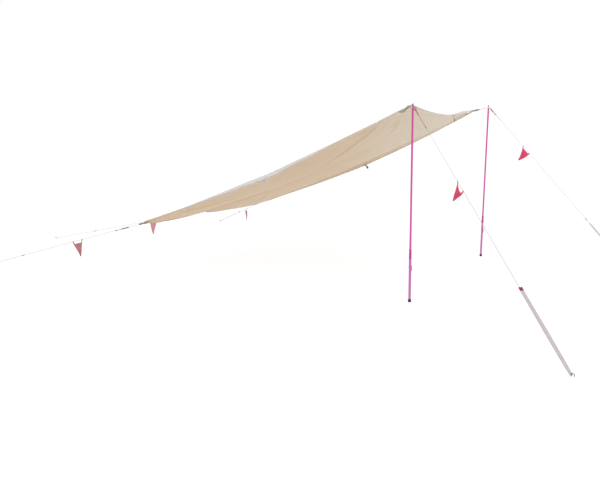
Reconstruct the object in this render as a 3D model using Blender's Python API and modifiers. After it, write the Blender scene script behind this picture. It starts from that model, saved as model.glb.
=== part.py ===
"""Camping tarp: a sloping fabric roof on two telescopic poles, stayed by five guy lines to pegs.

The ground is z = 0, the open high front faces -Y and the low rear faces +Y. The near side is -X.
The origin is on the ground in the middle of the pegged-out footprint.
"""

import math

import bmesh
import bpy
from mathutils import Matrix, Vector

TARP = "camping_tarp"
UP = Vector((0.0, 0.0, 1.0))
GAP = 0.0003
RUNNING_GAP = 0.0006

# Poles: a slim tube slides into a wider one, and a spike at the top takes the loops.
POLE_HEIGHT = 2.20
NEAR_POLE_FOOT = Vector((-1.33, -2.36, 0.0))
FAR_POLE_FOOT = Vector((1.80, -2.36, 0.0))
NEAR_POLE_LEAN = Vector((-0.020, 0.008, 0.0))
FAR_POLE_LEAN = Vector((0.015, -0.025, 0.0))
TUBE_WALL = 0.0012
UPPER_TUBE_RADIUS = 0.0110
UPPER_TUBE_BOTTOM = 0.360
UPPER_TUBE_TOP = 2.155
SWAGE_RADIUS = 0.0125
SWAGE_HEIGHT = 0.025
LOWER_TUBE_RADIUS = 0.0140
NECK_RADIUS = 0.0126
NECK_BOTTOM = 0.500
NECK_TOP = 0.600
FOOT_RADIUS = 0.0165
FOOT_HEIGHT = 0.032
FOOT_FLOOR = 0.006
SPIKE_RADIUS = 0.0035
SPIKE_FLANGE = 0.0042
SPIKE_PLUG_DEPTH = 0.020
LINK_SEAT = 2.1662
GUY_SEAT = 2.1815
LEVER_SIZE = (0.009, 0.014, 0.064)
LEVER_HEIGHT = 0.388
LEVER_SIDE = math.radians(-62.6)

# Fabric: the tips of its four corners, its thickness as a solid, and how its edges hang.
CORNERS = {
    "near_front": Vector((-1.219, -2.247, 2.166)),
    "far_front": Vector((1.682, -2.224, 2.124)),
    "far_rear": Vector((1.485, 1.175, 0.664)),
    "near_rear": Vector((-1.425, 1.297, 0.659)),
}
FABRIC_THICKNESS = 0.003
FABRIC_CELLS = (14, 16)
MARGIN_WIDTH = 0.11
NEAR_LIFT, NEAR_SAG, NEAR_DROOP = 0.040, 0.055, 0.095
NEAR_LEAD, NEAR_TRAIL = 0.090, 0.050
NEAR_DROOP_LEAD, NEAR_DROOP_TRAIL = (0.04, 0.20), (0.02, 0.20)
NEAR_DROOP_AT_REAR = 0.45
FAR_SAG, FAR_DROOP = 0.060, 0.055
FRONT_LIFT, FRONT_SAG, FRONT_DROOP, FRONT_BULGE = 0.050, 0.008, 0.055, 0.050
FRONT_LEAD, FRONT_FADE = 0.050, 16
NEAR_REAR_SAG, FAR_REAR_SAG = 0.033, 0.038
MIDDLE_SAG = 0.040
REAR_PULL = 0.070
CORNER_CUT = 0.020

# Webbing straps, elastic link loops and hanging edge tabs.
STRAP_THICKNESS = 0.0025
CORNER_STRAP_WIDTH = 0.024
CORNER_STRAP_LENGTH = 0.085
GUY_STRAP_WIDTH = 0.018
GUY_STRAP_LENGTH = 0.100
EYE_RIM = 0.0045
LINK_RADIUS = 0.0020
LINK_BEND = 0.0050
LINK_LENGTH = 0.150
TAB_WIDTH = 0.024
TAB_THICKNESS = 0.003
TAB_LENGTH = {"near_side_tab": 0.092, "far_side_tab": 0.100, "front_tab": 0.100}
TAB_INSET = {"near_side_tab": 0.006, "far_side_tab": 0.050, "front_tab": 0.006}
TAB_PLACE = {"near_side_tab": 0.50, "far_side_tab": 0.485, "front_tab": 8 / 14}
TAB_SWING = {"near_side_tab": 0.0, "far_side_tab": -50.0, "front_tab": 20.0}

# Guy lines: one cord each, tied in the strap's eye and down to the slider. At the rear it goes on
# round the peg and back to the slider. At the front a flat strap goes on to the peg instead.
CORD_RADIUS = 0.0025
HAIRPIN_BEND = 0.0050
HAIRPIN_TAIL = 0.070
HAIRPIN_CLOSE = (0.014, 0.030)
TAIL_SPACING = 0.0054
SLIDER_SIZE = (0.037, 0.027, 0.010)
SLIDER_HOLE_SPACING = 0.016
SLIDER_PLACE = {
    "near_front": 0.74,
    "far_front": 0.74,
    "near_rear": 0.73,
    "middle_rear": 0.715,
    "far_rear": 0.50,
}
CORD_END_PAST_SLIDER = 0.012
CORD_END_IN_SLIDER = 0.003
PEG_STRAP_WIDTH = 0.027
PEGS = {
    "near_front": Vector((-3.082, -4.357, 0.0)),
    "far_front": Vector((2.463, -4.217, 0.0)),
    "near_rear": Vector((-2.212, 3.511, 0.0)),
    "middle_rear": Vector((0.087, 4.362, 0.0)),
    "far_rear": Vector((3.080, 3.058, 0.0)),
}
PEG_RADIUS = 0.0035
PEG_BEND = 0.009
PEG_SHAFT = 0.019
PEG_REACH = 0.022
PEG_TIP = 0.010
CORD_HEIGHT_AT_PEG = 0.0125

# Pennants: triangular warning flags that hang by two sleeves and swing about the cord.
PENNANT_HALF_WIDTH = 0.0725
PENNANT_DEPTH = 0.200
PENNANT_THICKNESS = 0.002
SLEEVE_LENGTH = 0.015
SLEEVE_RADIUS = 0.0056
SLEEVE_BORE = CORD_RADIUS + RUNNING_GAP
PENNANT_EDGE_SAG = 0.016
PENNANT_TIP = 0.008
PENNANT_PLACE = {
    "near_front": 0.365,
    "far_front": 0.285,
    "near_rear": 0.40,
    "middle_rear": 0.325,
    "far_rear": 0.36,
}

COLOURS = {
    "canvas": (0.60, 0.50, 0.38, 0.90, 0.0),
    "webbing": (0.16, 0.15, 0.15, 0.85, 0.0),
    "peg_webbing": (0.58, 0.52, 0.54, 0.85, 0.0),
    "elastic": (0.62, 0.60, 0.58, 0.80, 0.0),
    "cord": (0.72, 0.62, 0.66, 0.75, 0.0),
    "pole": (0.74, 0.12, 0.45, 0.35, 0.3),
    "steel": (0.42, 0.42, 0.43, 0.35, 0.9),
    "rubber": (0.02, 0.015, 0.02, 0.80, 0.0),
    "slider": (0.26, 0.02, 0.08, 0.45, 0.0),
    "lever": (0.55, 0.56, 0.57, 0.40, 0.0),
    "front_pennant": (0.70, 0.04, 0.10, 0.80, 0.0),
    "rear_pennant": (0.55, 0.22, 0.24, 0.85, 0.0),
}


def clear_scene():
    for item in list(bpy.data.objects):
        bpy.data.objects.remove(item, do_unlink=True)


def new_collection(name):
    group = bpy.data.collections.new(name)
    bpy.context.scene.collection.children.link(group)
    return group


def make_materials():
    made = {}
    for name, (red, green, blue, roughness, metallic) in COLOURS.items():
        material = bpy.data.materials.new(name)
        material.use_nodes = True
        shader = material.node_tree.nodes["Principled BSDF"]
        shader.inputs["Base Color"].default_value = (red, green, blue, 1.0)
        shader.inputs["Roughness"].default_value = roughness
        shader.inputs["Metallic"].default_value = metallic
        made[name] = material
    return made


def add_object(group, name, data, material=None, matrix=None, parent=None):
    item = bpy.data.objects.new(name, data)
    group.objects.link(item)
    if material is not None:
        data.materials.clear()
        data.materials.append(material)
    if parent is not None:
        item.parent = parent
    if matrix is not None:
        item.matrix_local = matrix
    return item


def frame_along(origin, target):
    """A frame with X from origin to target, Y level and Z as near upright as it can be."""
    along = (target - origin).normalized()
    level = UP.cross(along).normalized()
    rise = along.cross(level)
    turn = Matrix((along, level, rise)).transposed()
    return Matrix.Translation(origin) @ turn.to_4x4()


def shifted(frame, offset):
    return frame @ Matrix.Translation(offset)


def arc(centre, radius_x, radius_y, start, end, steps):
    """Points of an elliptical arc in a plane, from one angle in degrees to another."""
    points = []
    for step in range(steps + 1):
        angle = math.radians(start + (end - start) * step / steps)
        points.append((centre[0] + radius_x * math.cos(angle), centre[1] + radius_y * math.sin(angle)))
    return points


def tube_curve(name, points, radius, closed=False):
    curve = bpy.data.curves.new(name, "CURVE")
    curve.dimensions = "3D"
    curve.bevel_depth = radius
    curve.bevel_resolution = 2
    curve.use_fill_caps = not closed
    spline = curve.splines.new("POLY")
    spline.points.add(len(points) - 1)
    for place, point in zip(spline.points, points):
        place.co = (point[0], point[1], point[2], 1.0)
    spline.use_cyclic_u = closed
    return curve


def plate_curve(name, outlines, thickness):
    """A flat plate in the XY plane: the first outline is its edge and the others are holes."""
    curve = bpy.data.curves.new(name, "CURVE")
    curve.dimensions = "2D"
    curve.fill_mode = "BOTH"
    curve.extrude = thickness / 2
    for outline in outlines:
        spline = curve.splines.new("POLY")
        spline.points.add(len(outline) - 1)
        for place, point in zip(spline.points, outline):
            place.co = (point[0], point[1], 0.0, 1.0)
        spline.use_cyclic_u = True
    return curve


def mesh_from(group, data):
    """The closed mesh of a curve, or of a mesh with modifiers, with its caps welded."""
    helper = bpy.data.objects.new("helper", data)
    group.objects.link(helper)
    return take_mesh(helper)


def take_mesh(helper):
    bpy.context.view_layer.update()
    evaluated = helper.evaluated_get(bpy.context.evaluated_depsgraph_get())
    mesh = bpy.data.meshes.new_from_object(evaluated)
    welded = bmesh.new()
    welded.from_mesh(mesh)
    bmesh.ops.remove_doubles(welded, verts=welded.verts, dist=0.00002)
    welded.to_mesh(mesh)
    welded.free()
    bpy.data.objects.remove(helper, do_unlink=True)
    return mesh


def turned_mesh(name, profile, closed):
    mesh = bpy.data.meshes.new(name)
    shape = bmesh.new()
    points = [shape.verts.new((radius, 0.0, height)) for radius, height in profile]
    for first, second in zip(points, points[1:]):
        shape.edges.new((first, second))
    if closed:
        shape.edges.new((points[-1], points[0]))
    shape.to_mesh(mesh)
    shape.free()
    return mesh


def add_turned(group, name, profile, closed, material, parent=None, matrix=None):
    item = add_object(group, name, turned_mesh(name, profile, closed), material, matrix, parent)
    turn = item.modifiers.new("turn", "SCREW")
    turn.steps = 20
    turn.render_steps = 20
    turn.use_merge_vertices = True
    turn.merge_threshold = 0.0001
    turn.use_smooth_shade = True
    return item


def along_x(length, radius, centre, sides=12):
    """A cylinder mesh along X, for a sleeve or a bore."""
    mesh = bpy.data.meshes.new("rod")
    shape = bmesh.new()
    bmesh.ops.create_cone(
        shape, cap_ends=True, segments=sides, radius1=radius, radius2=radius, depth=length,
        matrix=Matrix.Translation(centre) @ Matrix.Rotation(math.pi / 2, 4, "Y"),
    )
    shape.to_mesh(mesh)
    shape.free()
    return mesh


def carved(group, cutters, mesh, steps):
    """The mesh after Boolean steps, each an operation and the mesh that it uses."""
    helper = bpy.data.objects.new("helper", mesh)
    group.objects.link(helper)
    tools = []
    for operation, tool_mesh in steps:
        tool = add_object(cutters, "cutter", tool_mesh)
        tool.hide_render = True
        tool.display_type = "WIRE"
        tools.append(tool)
        cut = helper.modifiers.new("cut", "BOOLEAN")
        cut.operation = operation
        cut.object = tool
    result = take_mesh(helper)
    for tool in tools:
        bpy.data.objects.remove(tool, do_unlink=True)
    return result


def pole_point(foot, lean, height):
    return foot + lean * (height / POLE_HEIGHT) + UP * height


def build_pole(group, materials, side, foot, lean):
    """One telescopic pole: spike, upper tube, lower tube with its clamp lever, and rubber foot."""
    axis = bpy.data.objects.new(f"{side}_pole_axis", None)
    group.objects.link(axis)
    axis.location = foot
    axis.rotation_mode = "QUATERNION"
    axis.rotation_quaternion = UP.rotation_difference((lean + UP * POLE_HEIGHT).normalized())

    bore = UPPER_TUBE_RADIUS - TUBE_WALL
    swage_top = UPPER_TUBE_BOTTOM + SWAGE_HEIGHT
    upper = [
        (UPPER_TUBE_RADIUS, UPPER_TUBE_TOP),
        (UPPER_TUBE_RADIUS, swage_top + 0.004),
        (SWAGE_RADIUS, swage_top),
        (SWAGE_RADIUS, UPPER_TUBE_BOTTOM),
        (bore, UPPER_TUBE_BOTTOM),
        (bore, UPPER_TUBE_TOP),
    ]
    add_turned(group, f"{side}_pole_upper_tube", upper, True, materials["pole"], axis)

    plug = bore - GAP
    spike = [
        (0.0, POLE_HEIGHT),
        (SPIKE_RADIUS * 0.6, POLE_HEIGHT),
        (SPIKE_RADIUS, POLE_HEIGHT - 0.002),
        (SPIKE_RADIUS, UPPER_TUBE_TOP + SPIKE_FLANGE),
        (UPPER_TUBE_RADIUS, UPPER_TUBE_TOP + SPIKE_FLANGE),
        (UPPER_TUBE_RADIUS, UPPER_TUBE_TOP + GAP),
        (plug, UPPER_TUBE_TOP + GAP),
        (plug, UPPER_TUBE_TOP - SPIKE_PLUG_DEPTH),
        (0.0, UPPER_TUBE_TOP - SPIKE_PLUG_DEPTH),
    ]
    add_turned(group, f"{side}_pole_spike", spike, False, materials["steel"], axis)

    inner = LOWER_TUBE_RADIUS - TUBE_WALL
    mouth = UPPER_TUBE_RADIUS + RUNNING_GAP
    bottom = FOOT_FLOOR + RUNNING_GAP
    lower = [
        (NECK_RADIUS, NECK_TOP),
        (NECK_RADIUS, NECK_TOP - 0.020),
        (LOWER_TUBE_RADIUS, NECK_BOTTOM),
        (LOWER_TUBE_RADIUS, bottom),
        (inner, bottom),
        (inner, NECK_BOTTOM),
        (mouth, NECK_TOP - 0.020),
        (mouth, NECK_TOP),
    ]
    add_turned(group, f"{side}_pole_lower_tube", lower, True, materials["pole"], axis)

    lever_mesh = bpy.data.meshes.new("lever")
    shape = bmesh.new()
    bmesh.ops.create_cube(shape, size=1.0, matrix=Matrix.Diagonal((*LEVER_SIZE, 1.0)))
    shape.to_mesh(lever_mesh)
    shape.free()
    reach = LOWER_TUBE_RADIUS + RUNNING_GAP + LEVER_SIZE[0] / 2
    place = Matrix.Rotation(LEVER_SIDE, 4, "Z") @ Matrix.Translation((reach, 0.0, LEVER_HEIGHT))
    lever = add_object(group, f"{side}_pole_lever", lever_mesh, materials["lever"], place, axis)
    soften = lever.modifiers.new("soften", "BEVEL")
    soften.width = 0.0025
    soften.segments = 2

    cup = LOWER_TUBE_RADIUS + RUNNING_GAP
    rubber = [
        (0.0, FOOT_FLOOR),
        (cup, FOOT_FLOOR),
        (cup, FOOT_HEIGHT),
        (FOOT_RADIUS, FOOT_HEIGHT),
        (FOOT_RADIUS, 0.0015),
        (FOOT_RADIUS - 0.0015, 0.0),
        (0.0, 0.0),
    ]
    at_foot = Matrix.Translation(foot)
    add_turned(group, f"{side}_pole_foot", rubber, False, materials["rubber"], matrix=at_foot)


def edge_lengths():
    width = (CORNERS["far_front"] - CORNERS["near_front"]).length
    length = (CORNERS["near_rear"] - CORNERS["near_front"]).length
    return width, length


def canopy_point(across, back):
    """Middle of the fabric: across runs from the near to the far side, back from front to rear."""
    front = CORNERS["near_front"].lerp(CORNERS["far_front"], across)
    rear = CORNERS["near_rear"].lerp(CORNERS["far_rear"], across)
    point = front.lerp(rear, back)
    width, length = edge_lengths()
    bow_across = 4.0 * across * (1.0 - across)
    bow_back = 4.0 * back * (1.0 - back)
    fold = across * width / MARGIN_WIDTH
    near = max(0.0, 1.0 - fold)
    far = max(0.0, 1.0 - (1.0 - across) * width / MARGIN_WIDTH)
    fore = max(0.0, 1.0 - back * length / MARGIN_WIDTH)
    near_held = held(back, NEAR_LEAD, NEAR_TRAIL)
    rear_slack = eased(1.0 - back, *NEAR_DROOP_TRAIL) * (1.0 - NEAR_DROOP_AT_REAR)
    near_slack = near_held * eased(back, *NEAR_DROOP_LEAD) * (NEAR_DROOP_AT_REAR + rear_slack)
    front_held = held(across, FRONT_LEAD, FRONT_LEAD)

    sag = FRONT_SAG * (1.0 - back) * bow_across + rear_scallop(across) * back
    sag += (NEAR_SAG * (1.0 - across) + FAR_SAG * across) * bow_back
    sag += MIDDLE_SAG * bow_across * bow_back
    lift = NEAR_LIFT * (1.0 - across) ** 2 * near_held
    lift += FRONT_LIFT * (1.0 - bow_across) * front_held * (1.0 - back) ** FRONT_FADE
    if back > 0.5:
        ridge = min(fold, max(0.0, (3.0 - fold) / 2.0))
        lift += NEAR_LIFT * ridge * (1.0 - near_held)
    droop = NEAR_DROOP * near * near_slack + FAR_DROOP * far * bow_back
    droop += FRONT_DROOP * fore * bow_across
    point.z += lift - sag - droop
    pull = REAR_PULL * max(0.0, 1.0 - abs(across - 0.5) * 2.0) * back ** 4
    point.y += pull - FRONT_BULGE * fore * bow_across
    return point


def held(place, lead, trail):
    """0 at an edge's two corners, rising quickly to 1 over a lead and a trail along it."""
    return math.sqrt(max(0.0, min(1.0, place / lead, (1.0 - place) / trail)))


def eased(place, start, end):
    """0 before start and 1 after end, with a smooth rise between them."""
    part = max(0.0, min(1.0, (place - start) / (end - start)))
    return part * part * (3.0 - 2.0 * part)


def rear_scallop(across):
    """How far the rear edge hangs between its two corners and the middle guy line."""
    swing = math.sin(2.0 * math.pi * across)
    if across < 0.5:
        return NEAR_REAR_SAG * swing
    return FAR_REAR_SAG * math.sqrt(max(0.0, -swing))


def spread(index, cells, margin):
    """Grid line positions from 0 to 1 with one line at each margin and even cells between."""
    if index == 0 or index == cells:
        return index / cells
    return margin + (1.0 - 2.0 * margin) * (index - 1) / (cells - 2)


def corner_point(corner):
    """The middle of the short edge where a corner is trimmed square for its strap."""
    width, length = edge_lengths()
    across, inner_across = 0.0, MARGIN_WIDTH / width
    if corner.startswith("far"):
        across, inner_across = 1.0, 1.0 - MARGIN_WIDTH / width
    back, inner_back = 0.0, MARGIN_WIDTH / length
    if corner.endswith("rear"):
        back, inner_back = 1.0, 1.0 - MARGIN_WIDTH / length
    tip = canopy_point(across, back)
    beside = canopy_point(inner_across, back) - tip
    along = canopy_point(across, inner_back) - tip
    return tip + (beside + along) * (CORNER_CUT / math.sqrt(2.0) / MARGIN_WIDTH)


def build_canopy(group, materials, pulls):
    """The fabric sheet, trimmed at each corner across the pull of its strap."""
    width, length = edge_lengths()
    cells_across, cells_back = FABRIC_CELLS
    shape = bmesh.new()
    bmesh.ops.create_grid(shape, x_segments=cells_across, y_segments=cells_back, size=0.5)
    side_margin = MARGIN_WIDTH / width
    end_margin = MARGIN_WIDTH / length
    for vert in shape.verts:
        column = round((vert.co.x + 0.5) * cells_across)
        row = round((vert.co.y + 0.5) * cells_back)
        across = spread(column, cells_across, side_margin)
        back = spread(row, cells_back, end_margin)
        vert.co = canopy_point(across, back)
    for corner, pull in pulls.items():
        everything = shape.verts[:] + shape.edges[:] + shape.faces[:]
        near_corner = [part for part in everything if is_near(part, corner)]
        bmesh.ops.bisect_plane(
            shape, geom=near_corner, plane_co=corner_point(corner), plane_no=pull, clear_outer=True,
        )
    mesh = bpy.data.meshes.new("canopy")
    shape.to_mesh(mesh)
    shape.free()
    item = add_object(group, "canopy", mesh, materials["canvas"])
    thicken = item.modifiers.new("thicken", "SOLIDIFY")
    thicken.thickness = FABRIC_THICKNESS
    thicken.offset = 0.0
    thicken.use_even_offset = False


def is_near(part, corner):
    """Whether a vertex, edge or face of the sheet lies wholly by one corner."""
    verts = [part] if isinstance(part, bmesh.types.BMVert) else part.verts
    return all((vert.co - CORNERS[corner]).length < 0.6 for vert in verts)


def strap_outline(start, end, width, eye_start, eye_end):
    """Outline of a strap along X whose ends are round where they hold an eye, and else square."""
    half = width / 2
    points = []
    if eye_start:
        points += arc((start + half, 0.0), half, half, 90, 270, 8)
    else:
        points += [(start, half), (start, -half)]
    if eye_end:
        points += arc((end - half, 0.0), half, half, -90, 90, 8)
    else:
        points += [(end, -half), (end, half)]
    return points


def eye(centre, radius_along, radius_across):
    return arc((centre, 0.0), radius_along, radius_across, 0, 330, 11)


def add_plate(group, name, outlines, thickness, material, frame):
    mesh = mesh_from(group, plate_curve(name, outlines, thickness))
    return add_object(group, name, mesh, material, frame)


def loop_points(start, end, bend_start, bend_end, start_turn, end_turn, start_stretch):
    """A closed loop along X whose flat turns from one end to the other, as angles about X."""
    def place(x, side, turn):
        return (x, side * math.cos(turn), side * math.sin(turn))

    legs = 5
    points = []
    for x, side in arc((start, 0.0), bend_start * start_stretch, bend_start, 90, 270, 8):
        points.append(place(x, side, start_turn))
    for step in range(1, legs):
        part = step / legs
        turn = start_turn + (end_turn - start_turn) * part
        side = bend_start + (bend_end - bend_start) * part
        points.append(place(start + (end - start) * part, -side, turn))
    for x, side in arc((end, 0.0), bend_end, bend_end, -90, 90, 8):
        points.append(place(x, side, end_turn))
    for step in range(1, legs):
        part = 1.0 - step / legs
        turn = start_turn + (end_turn - start_turn) * part
        side = bend_start + (bend_end - bend_start) * part
        points.append(place(start + (end - start) * part, side, turn))
    return points


def build_front_corner(group, materials, corner, foot, lean):
    """A link loop over the pole's spike and the webbing strap that it pulls."""
    seat = pole_point(foot, lean, LINK_SEAT)
    hem = corner_point(corner)
    frame = frame_along(seat, hem)
    reach = (hem - seat).length - RUNNING_GAP
    slope = math.acos(min(1.0, Vector((frame[0][0], frame[1][0], 0.0)).length))
    hole = LINK_RADIUS + RUNNING_GAP
    eye_place = reach - CORNER_STRAP_LENGTH
    outline = strap_outline(
        eye_place - hole - EYE_RIM, reach, CORNER_STRAP_WIDTH, True, False,
    )
    add_plate(
        group, f"{corner}_corner_strap", [outline, eye(eye_place, hole, hole)],
        STRAP_THICKNESS, materials["webbing"], frame,
    )
    over_spike = SPIKE_RADIUS + LINK_RADIUS + GAP * 1.5
    points = loop_points(
        0.0, eye_place - LINK_BEND, over_spike, LINK_BEND, 0.0, math.pi / 2, 1.0 / math.cos(slope),
    )
    loop = tube_curve(f"{corner}_link_loop", points, LINK_RADIUS, closed=True)
    add_object(group, f"{corner}_link_loop", loop, materials["elastic"], frame)


def build_rear_corner(group, materials, corner, frame):
    """A webbing strap on the fabric's corner and the link loop to the guy line's own strap."""
    hole = LINK_RADIUS + RUNNING_GAP
    plates = shifted(frame, (0.0, 0.0, -TAIL_SPACING / 2))
    outline = strap_outline(
        RUNNING_GAP, CORNER_STRAP_LENGTH + hole + EYE_RIM, CORNER_STRAP_WIDTH, False, True,
    )
    add_plate(
        group, f"{corner}_corner_strap", [outline, eye(CORNER_STRAP_LENGTH, hole, hole)],
        STRAP_THICKNESS, materials["webbing"], plates,
    )
    first = CORNER_STRAP_LENGTH + LINK_BEND
    last = CORNER_STRAP_LENGTH + LINK_LENGTH - LINK_BEND
    upright = math.pi / 2
    points = loop_points(first, last, LINK_BEND, LINK_BEND, upright, upright, 1.0)
    loop = tube_curve(f"{corner}_link_loop", points, LINK_RADIUS, closed=True)
    add_object(group, f"{corner}_link_loop", loop, materials["elastic"], plates)


def add_guy_strap(group, materials, stay, frame, start, start_eye):
    """The strap at the top of a guy line, with an eye at each end; returns the lower eye's place."""
    hole = CORD_RADIUS + RUNNING_GAP
    end_eye = start + GUY_STRAP_LENGTH
    outline = strap_outline(
        start - start_eye[0] - EYE_RIM, end_eye + hole + EYE_RIM, GUY_STRAP_WIDTH, True, True,
    )
    plates = shifted(frame, (0.0, 0.0, -TAIL_SPACING / 2))
    add_plate(
        group, f"{stay}_guy_strap", [outline, eye(start, *start_eye), eye(end_eye, hole, hole)],
        STRAP_THICKNESS, materials["webbing"], plates,
    )
    return end_eye


def hairpin_points(first_eye):
    """The top of the cord's route: its short tail, and the turn through the eye that ties it."""
    middle = -TAIL_SPACING / 2
    bulge, close = HAIRPIN_CLOSE
    points = [
        (first_eye + HAIRPIN_TAIL, 0.0, -TAIL_SPACING),
        (first_eye + close, 0.0, -TAIL_SPACING),
        (first_eye + bulge, 0.0, middle - HAIRPIN_BEND),
    ]
    turn = arc((first_eye + HAIRPIN_BEND, middle), HAIRPIN_BEND, HAIRPIN_BEND, 270, 90, 6)
    points += [(x, 0.0, z) for x, z in turn]
    points += [
        (first_eye + bulge, 0.0, middle + HAIRPIN_BEND),
        (first_eye + close, 0.0, 0.0),
    ]
    return points


def peg_turn_points(reach, slider_place, slope):
    """The foot of a rear cord's route: round the peg and back through the slider's second hole."""
    bend = peg_bend()
    half = SLIDER_SIZE[0] / 2
    round_peg = arc((reach, bend), bend / math.cos(slope), bend, -90, 90, 8)
    points = [(x, y, 0.0) for x, y in round_peg]
    points += [
        (slider_place + half, SLIDER_HOLE_SPACING, 0.0),
        (slider_place - half - CORD_END_PAST_SLIDER, SLIDER_HOLE_SPACING, 0.0),
    ]
    return points


def add_peg_strap(group, materials, stay, frame, reach, slider_place):
    """The flat strap from a front line's slider to its peg, with an eye round the peg."""
    radii = slanted_eye(PEG_RADIUS, slope_of(frame))
    start = slider_place + SLIDER_SIZE[0] / 2 + GAP
    outline = strap_outline(start, reach + radii[0] + EYE_RIM, PEG_STRAP_WIDTH, False, True)
    add_plate(
        group, f"{stay}_peg_strap", [outline, eye(reach, *radii)], STRAP_THICKNESS,
        materials["peg_webbing"], shifted(frame, (0.0, peg_bend(), 0.0)),
    )


def peg_bend():
    return PEG_RADIUS + CORD_RADIUS + GAP * 1.5


def stay_frame(anchor, stay):
    """The frame of a guy line from its anchor, with the cord on its X axis, and its reach."""
    target = PEGS[stay] + UP * CORD_HEIGHT_AT_PEG
    aim = frame_along(anchor, target)
    rise = Vector((aim[0][2], aim[1][2], aim[2][2]))
    level = Vector((aim[0][1], aim[1][1], aim[2][1]))
    origin = anchor + rise * (TAIL_SPACING / 2)
    end = target - level * peg_bend()
    return frame_along(origin, end), (end - origin).length


def slope_of(frame):
    along = Vector((frame[0][0], frame[1][0], frame[2][0]))
    return math.asin(min(1.0, abs(along.z)))


def slider_mesh(group, cutters):
    """A rounded plastic block with the cord's two holes; its first hole is at its origin."""
    shape = bmesh.new()
    middle = Matrix.Translation((0.0, SLIDER_HOLE_SPACING / 2, 0.0))
    bmesh.ops.create_cube(shape, size=1.0, matrix=middle @ Matrix.Diagonal((*SLIDER_SIZE, 1.0)))
    bmesh.ops.bevel(
        shape, geom=shape.edges[:], offset=0.0012, segments=1, profile=0.5, affect="EDGES",
        material=-1,
    )
    mesh = bpy.data.meshes.new("slider")
    shape.to_mesh(mesh)
    shape.free()
    bore = CORD_RADIUS + RUNNING_GAP
    first = along_x(SLIDER_SIZE[0] * 2, bore, (0.0, 0.0, 0.0))
    second = along_x(SLIDER_SIZE[0] * 2, bore, (0.0, SLIDER_HOLE_SPACING, 0.0))
    return carved(group, cutters, mesh, [("DIFFERENCE", first), ("DIFFERENCE", second)])


def pennant_mesh(group, cutters):
    """A triangular flag below the cord on X, with a sleeve round the cord at each upper corner."""
    sleeve = PENNANT_HALF_WIDTH - SLEEVE_LENGTH
    ear_top = -SLEEVE_BORE * 0.9
    outline = [
        (-PENNANT_HALF_WIDTH, ear_top),
        (-sleeve, ear_top),
        (-sleeve, -SLEEVE_RADIUS),
        (-sleeve * 0.5, -SLEEVE_RADIUS - PENNANT_EDGE_SAG * 0.75),
        (0.0, -SLEEVE_RADIUS - PENNANT_EDGE_SAG),
        (sleeve * 0.5, -SLEEVE_RADIUS - PENNANT_EDGE_SAG * 0.75),
        (sleeve, -SLEEVE_RADIUS),
        (sleeve, ear_top),
        (PENNANT_HALF_WIDTH, ear_top),
        (PENNANT_HALF_WIDTH, -SLEEVE_RADIUS),
        (PENNANT_TIP / 2, -PENNANT_DEPTH),
        (-PENNANT_TIP / 2, -PENNANT_DEPTH),
        (-PENNANT_HALF_WIDTH, -SLEEVE_RADIUS),
    ]
    flag = mesh_from(group, plate_curve("flag", [outline], PENNANT_THICKNESS))
    flag.transform(Matrix.Rotation(math.pi / 2, 4, "X"))
    middle = (sleeve + PENNANT_HALF_WIDTH) / 2
    left = along_x(SLEEVE_LENGTH, SLEEVE_RADIUS, (-middle, 0.0, 0.0))
    right = along_x(SLEEVE_LENGTH, SLEEVE_RADIUS, (middle, 0.0, 0.0))
    bore = along_x(PENNANT_HALF_WIDTH * 3, SLEEVE_BORE, (0.0, 0.0, 0.0))
    return carved(group, cutters, flag, [("UNION", left), ("UNION", right), ("DIFFERENCE", bore)])


def peg_points():
    """A round hook peg from the ground up: shaft, bend, reach away from the tarp, and tip."""
    points = [(0.0, 0.0, 0.0), (0.0, 0.0, PEG_SHAFT * 0.6)]
    up = arc((PEG_BEND, PEG_SHAFT), PEG_BEND, PEG_BEND, 180, 90, 4)
    down = arc((PEG_BEND + PEG_REACH, PEG_SHAFT), PEG_BEND, PEG_BEND, 90, 0, 4)
    points += [(x, 0.0, z) for x, z in up + down]
    points.append((2 * PEG_BEND + PEG_REACH, 0.0, PEG_SHAFT - PEG_TIP))
    return points


def build_stay(group, materials, shared, stay, anchor, start, start_eye):
    """One guy line with its strap, slider, pennant and peg."""
    frame, reach = stay_frame(anchor, stay)
    first_eye = start
    if start_eye is not None:
        first_eye = add_guy_strap(group, materials, stay, frame, start, start_eye)
    slider_place = reach * SLIDER_PLACE[stay]
    points = hairpin_points(first_eye)
    if stay.endswith("front"):
        points.append((slider_place + SLIDER_SIZE[0] / 2 - CORD_END_IN_SLIDER, 0.0, 0.0))
        add_peg_strap(group, materials, stay, frame, reach, slider_place)
    else:
        points += peg_turn_points(reach, slider_place, slope_of(frame))
    cord = tube_curve(f"{stay}_guy_line", points, CORD_RADIUS)
    add_object(group, f"{stay}_guy_line", cord, materials["cord"], frame)
    add_object(
        group, f"{stay}_slider", shared["slider"].copy(), materials["slider"],
        shifted(frame, (slider_place, 0.0, 0.0)),
    )
    flag_material = materials["front_pennant" if stay.endswith("front") else "rear_pennant"]
    add_object(
        group, f"{stay}_pennant", shared["pennant"].copy(), flag_material,
        shifted(frame, (reach * PENNANT_PLACE[stay], 0.0, 0.0)),
    )
    heading = math.atan2(frame[1][0], frame[0][0])
    peg = tube_curve(f"{stay}_peg", peg_points(), PEG_RADIUS)
    at_peg = Matrix.Translation(PEGS[stay]) @ Matrix.Rotation(heading, 4, "Z")
    add_object(group, f"{stay}_peg", peg, materials["steel"], at_peg)
    return frame


def slanted_eye(radius, slope):
    """Radii of the eye in a slanted strap that clears an upright round rod."""
    along = radius / math.cos(slope) + STRAP_THICKNESS / 2 * math.tan(slope) + RUNNING_GAP
    return along, radius + RUNNING_GAP


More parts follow.
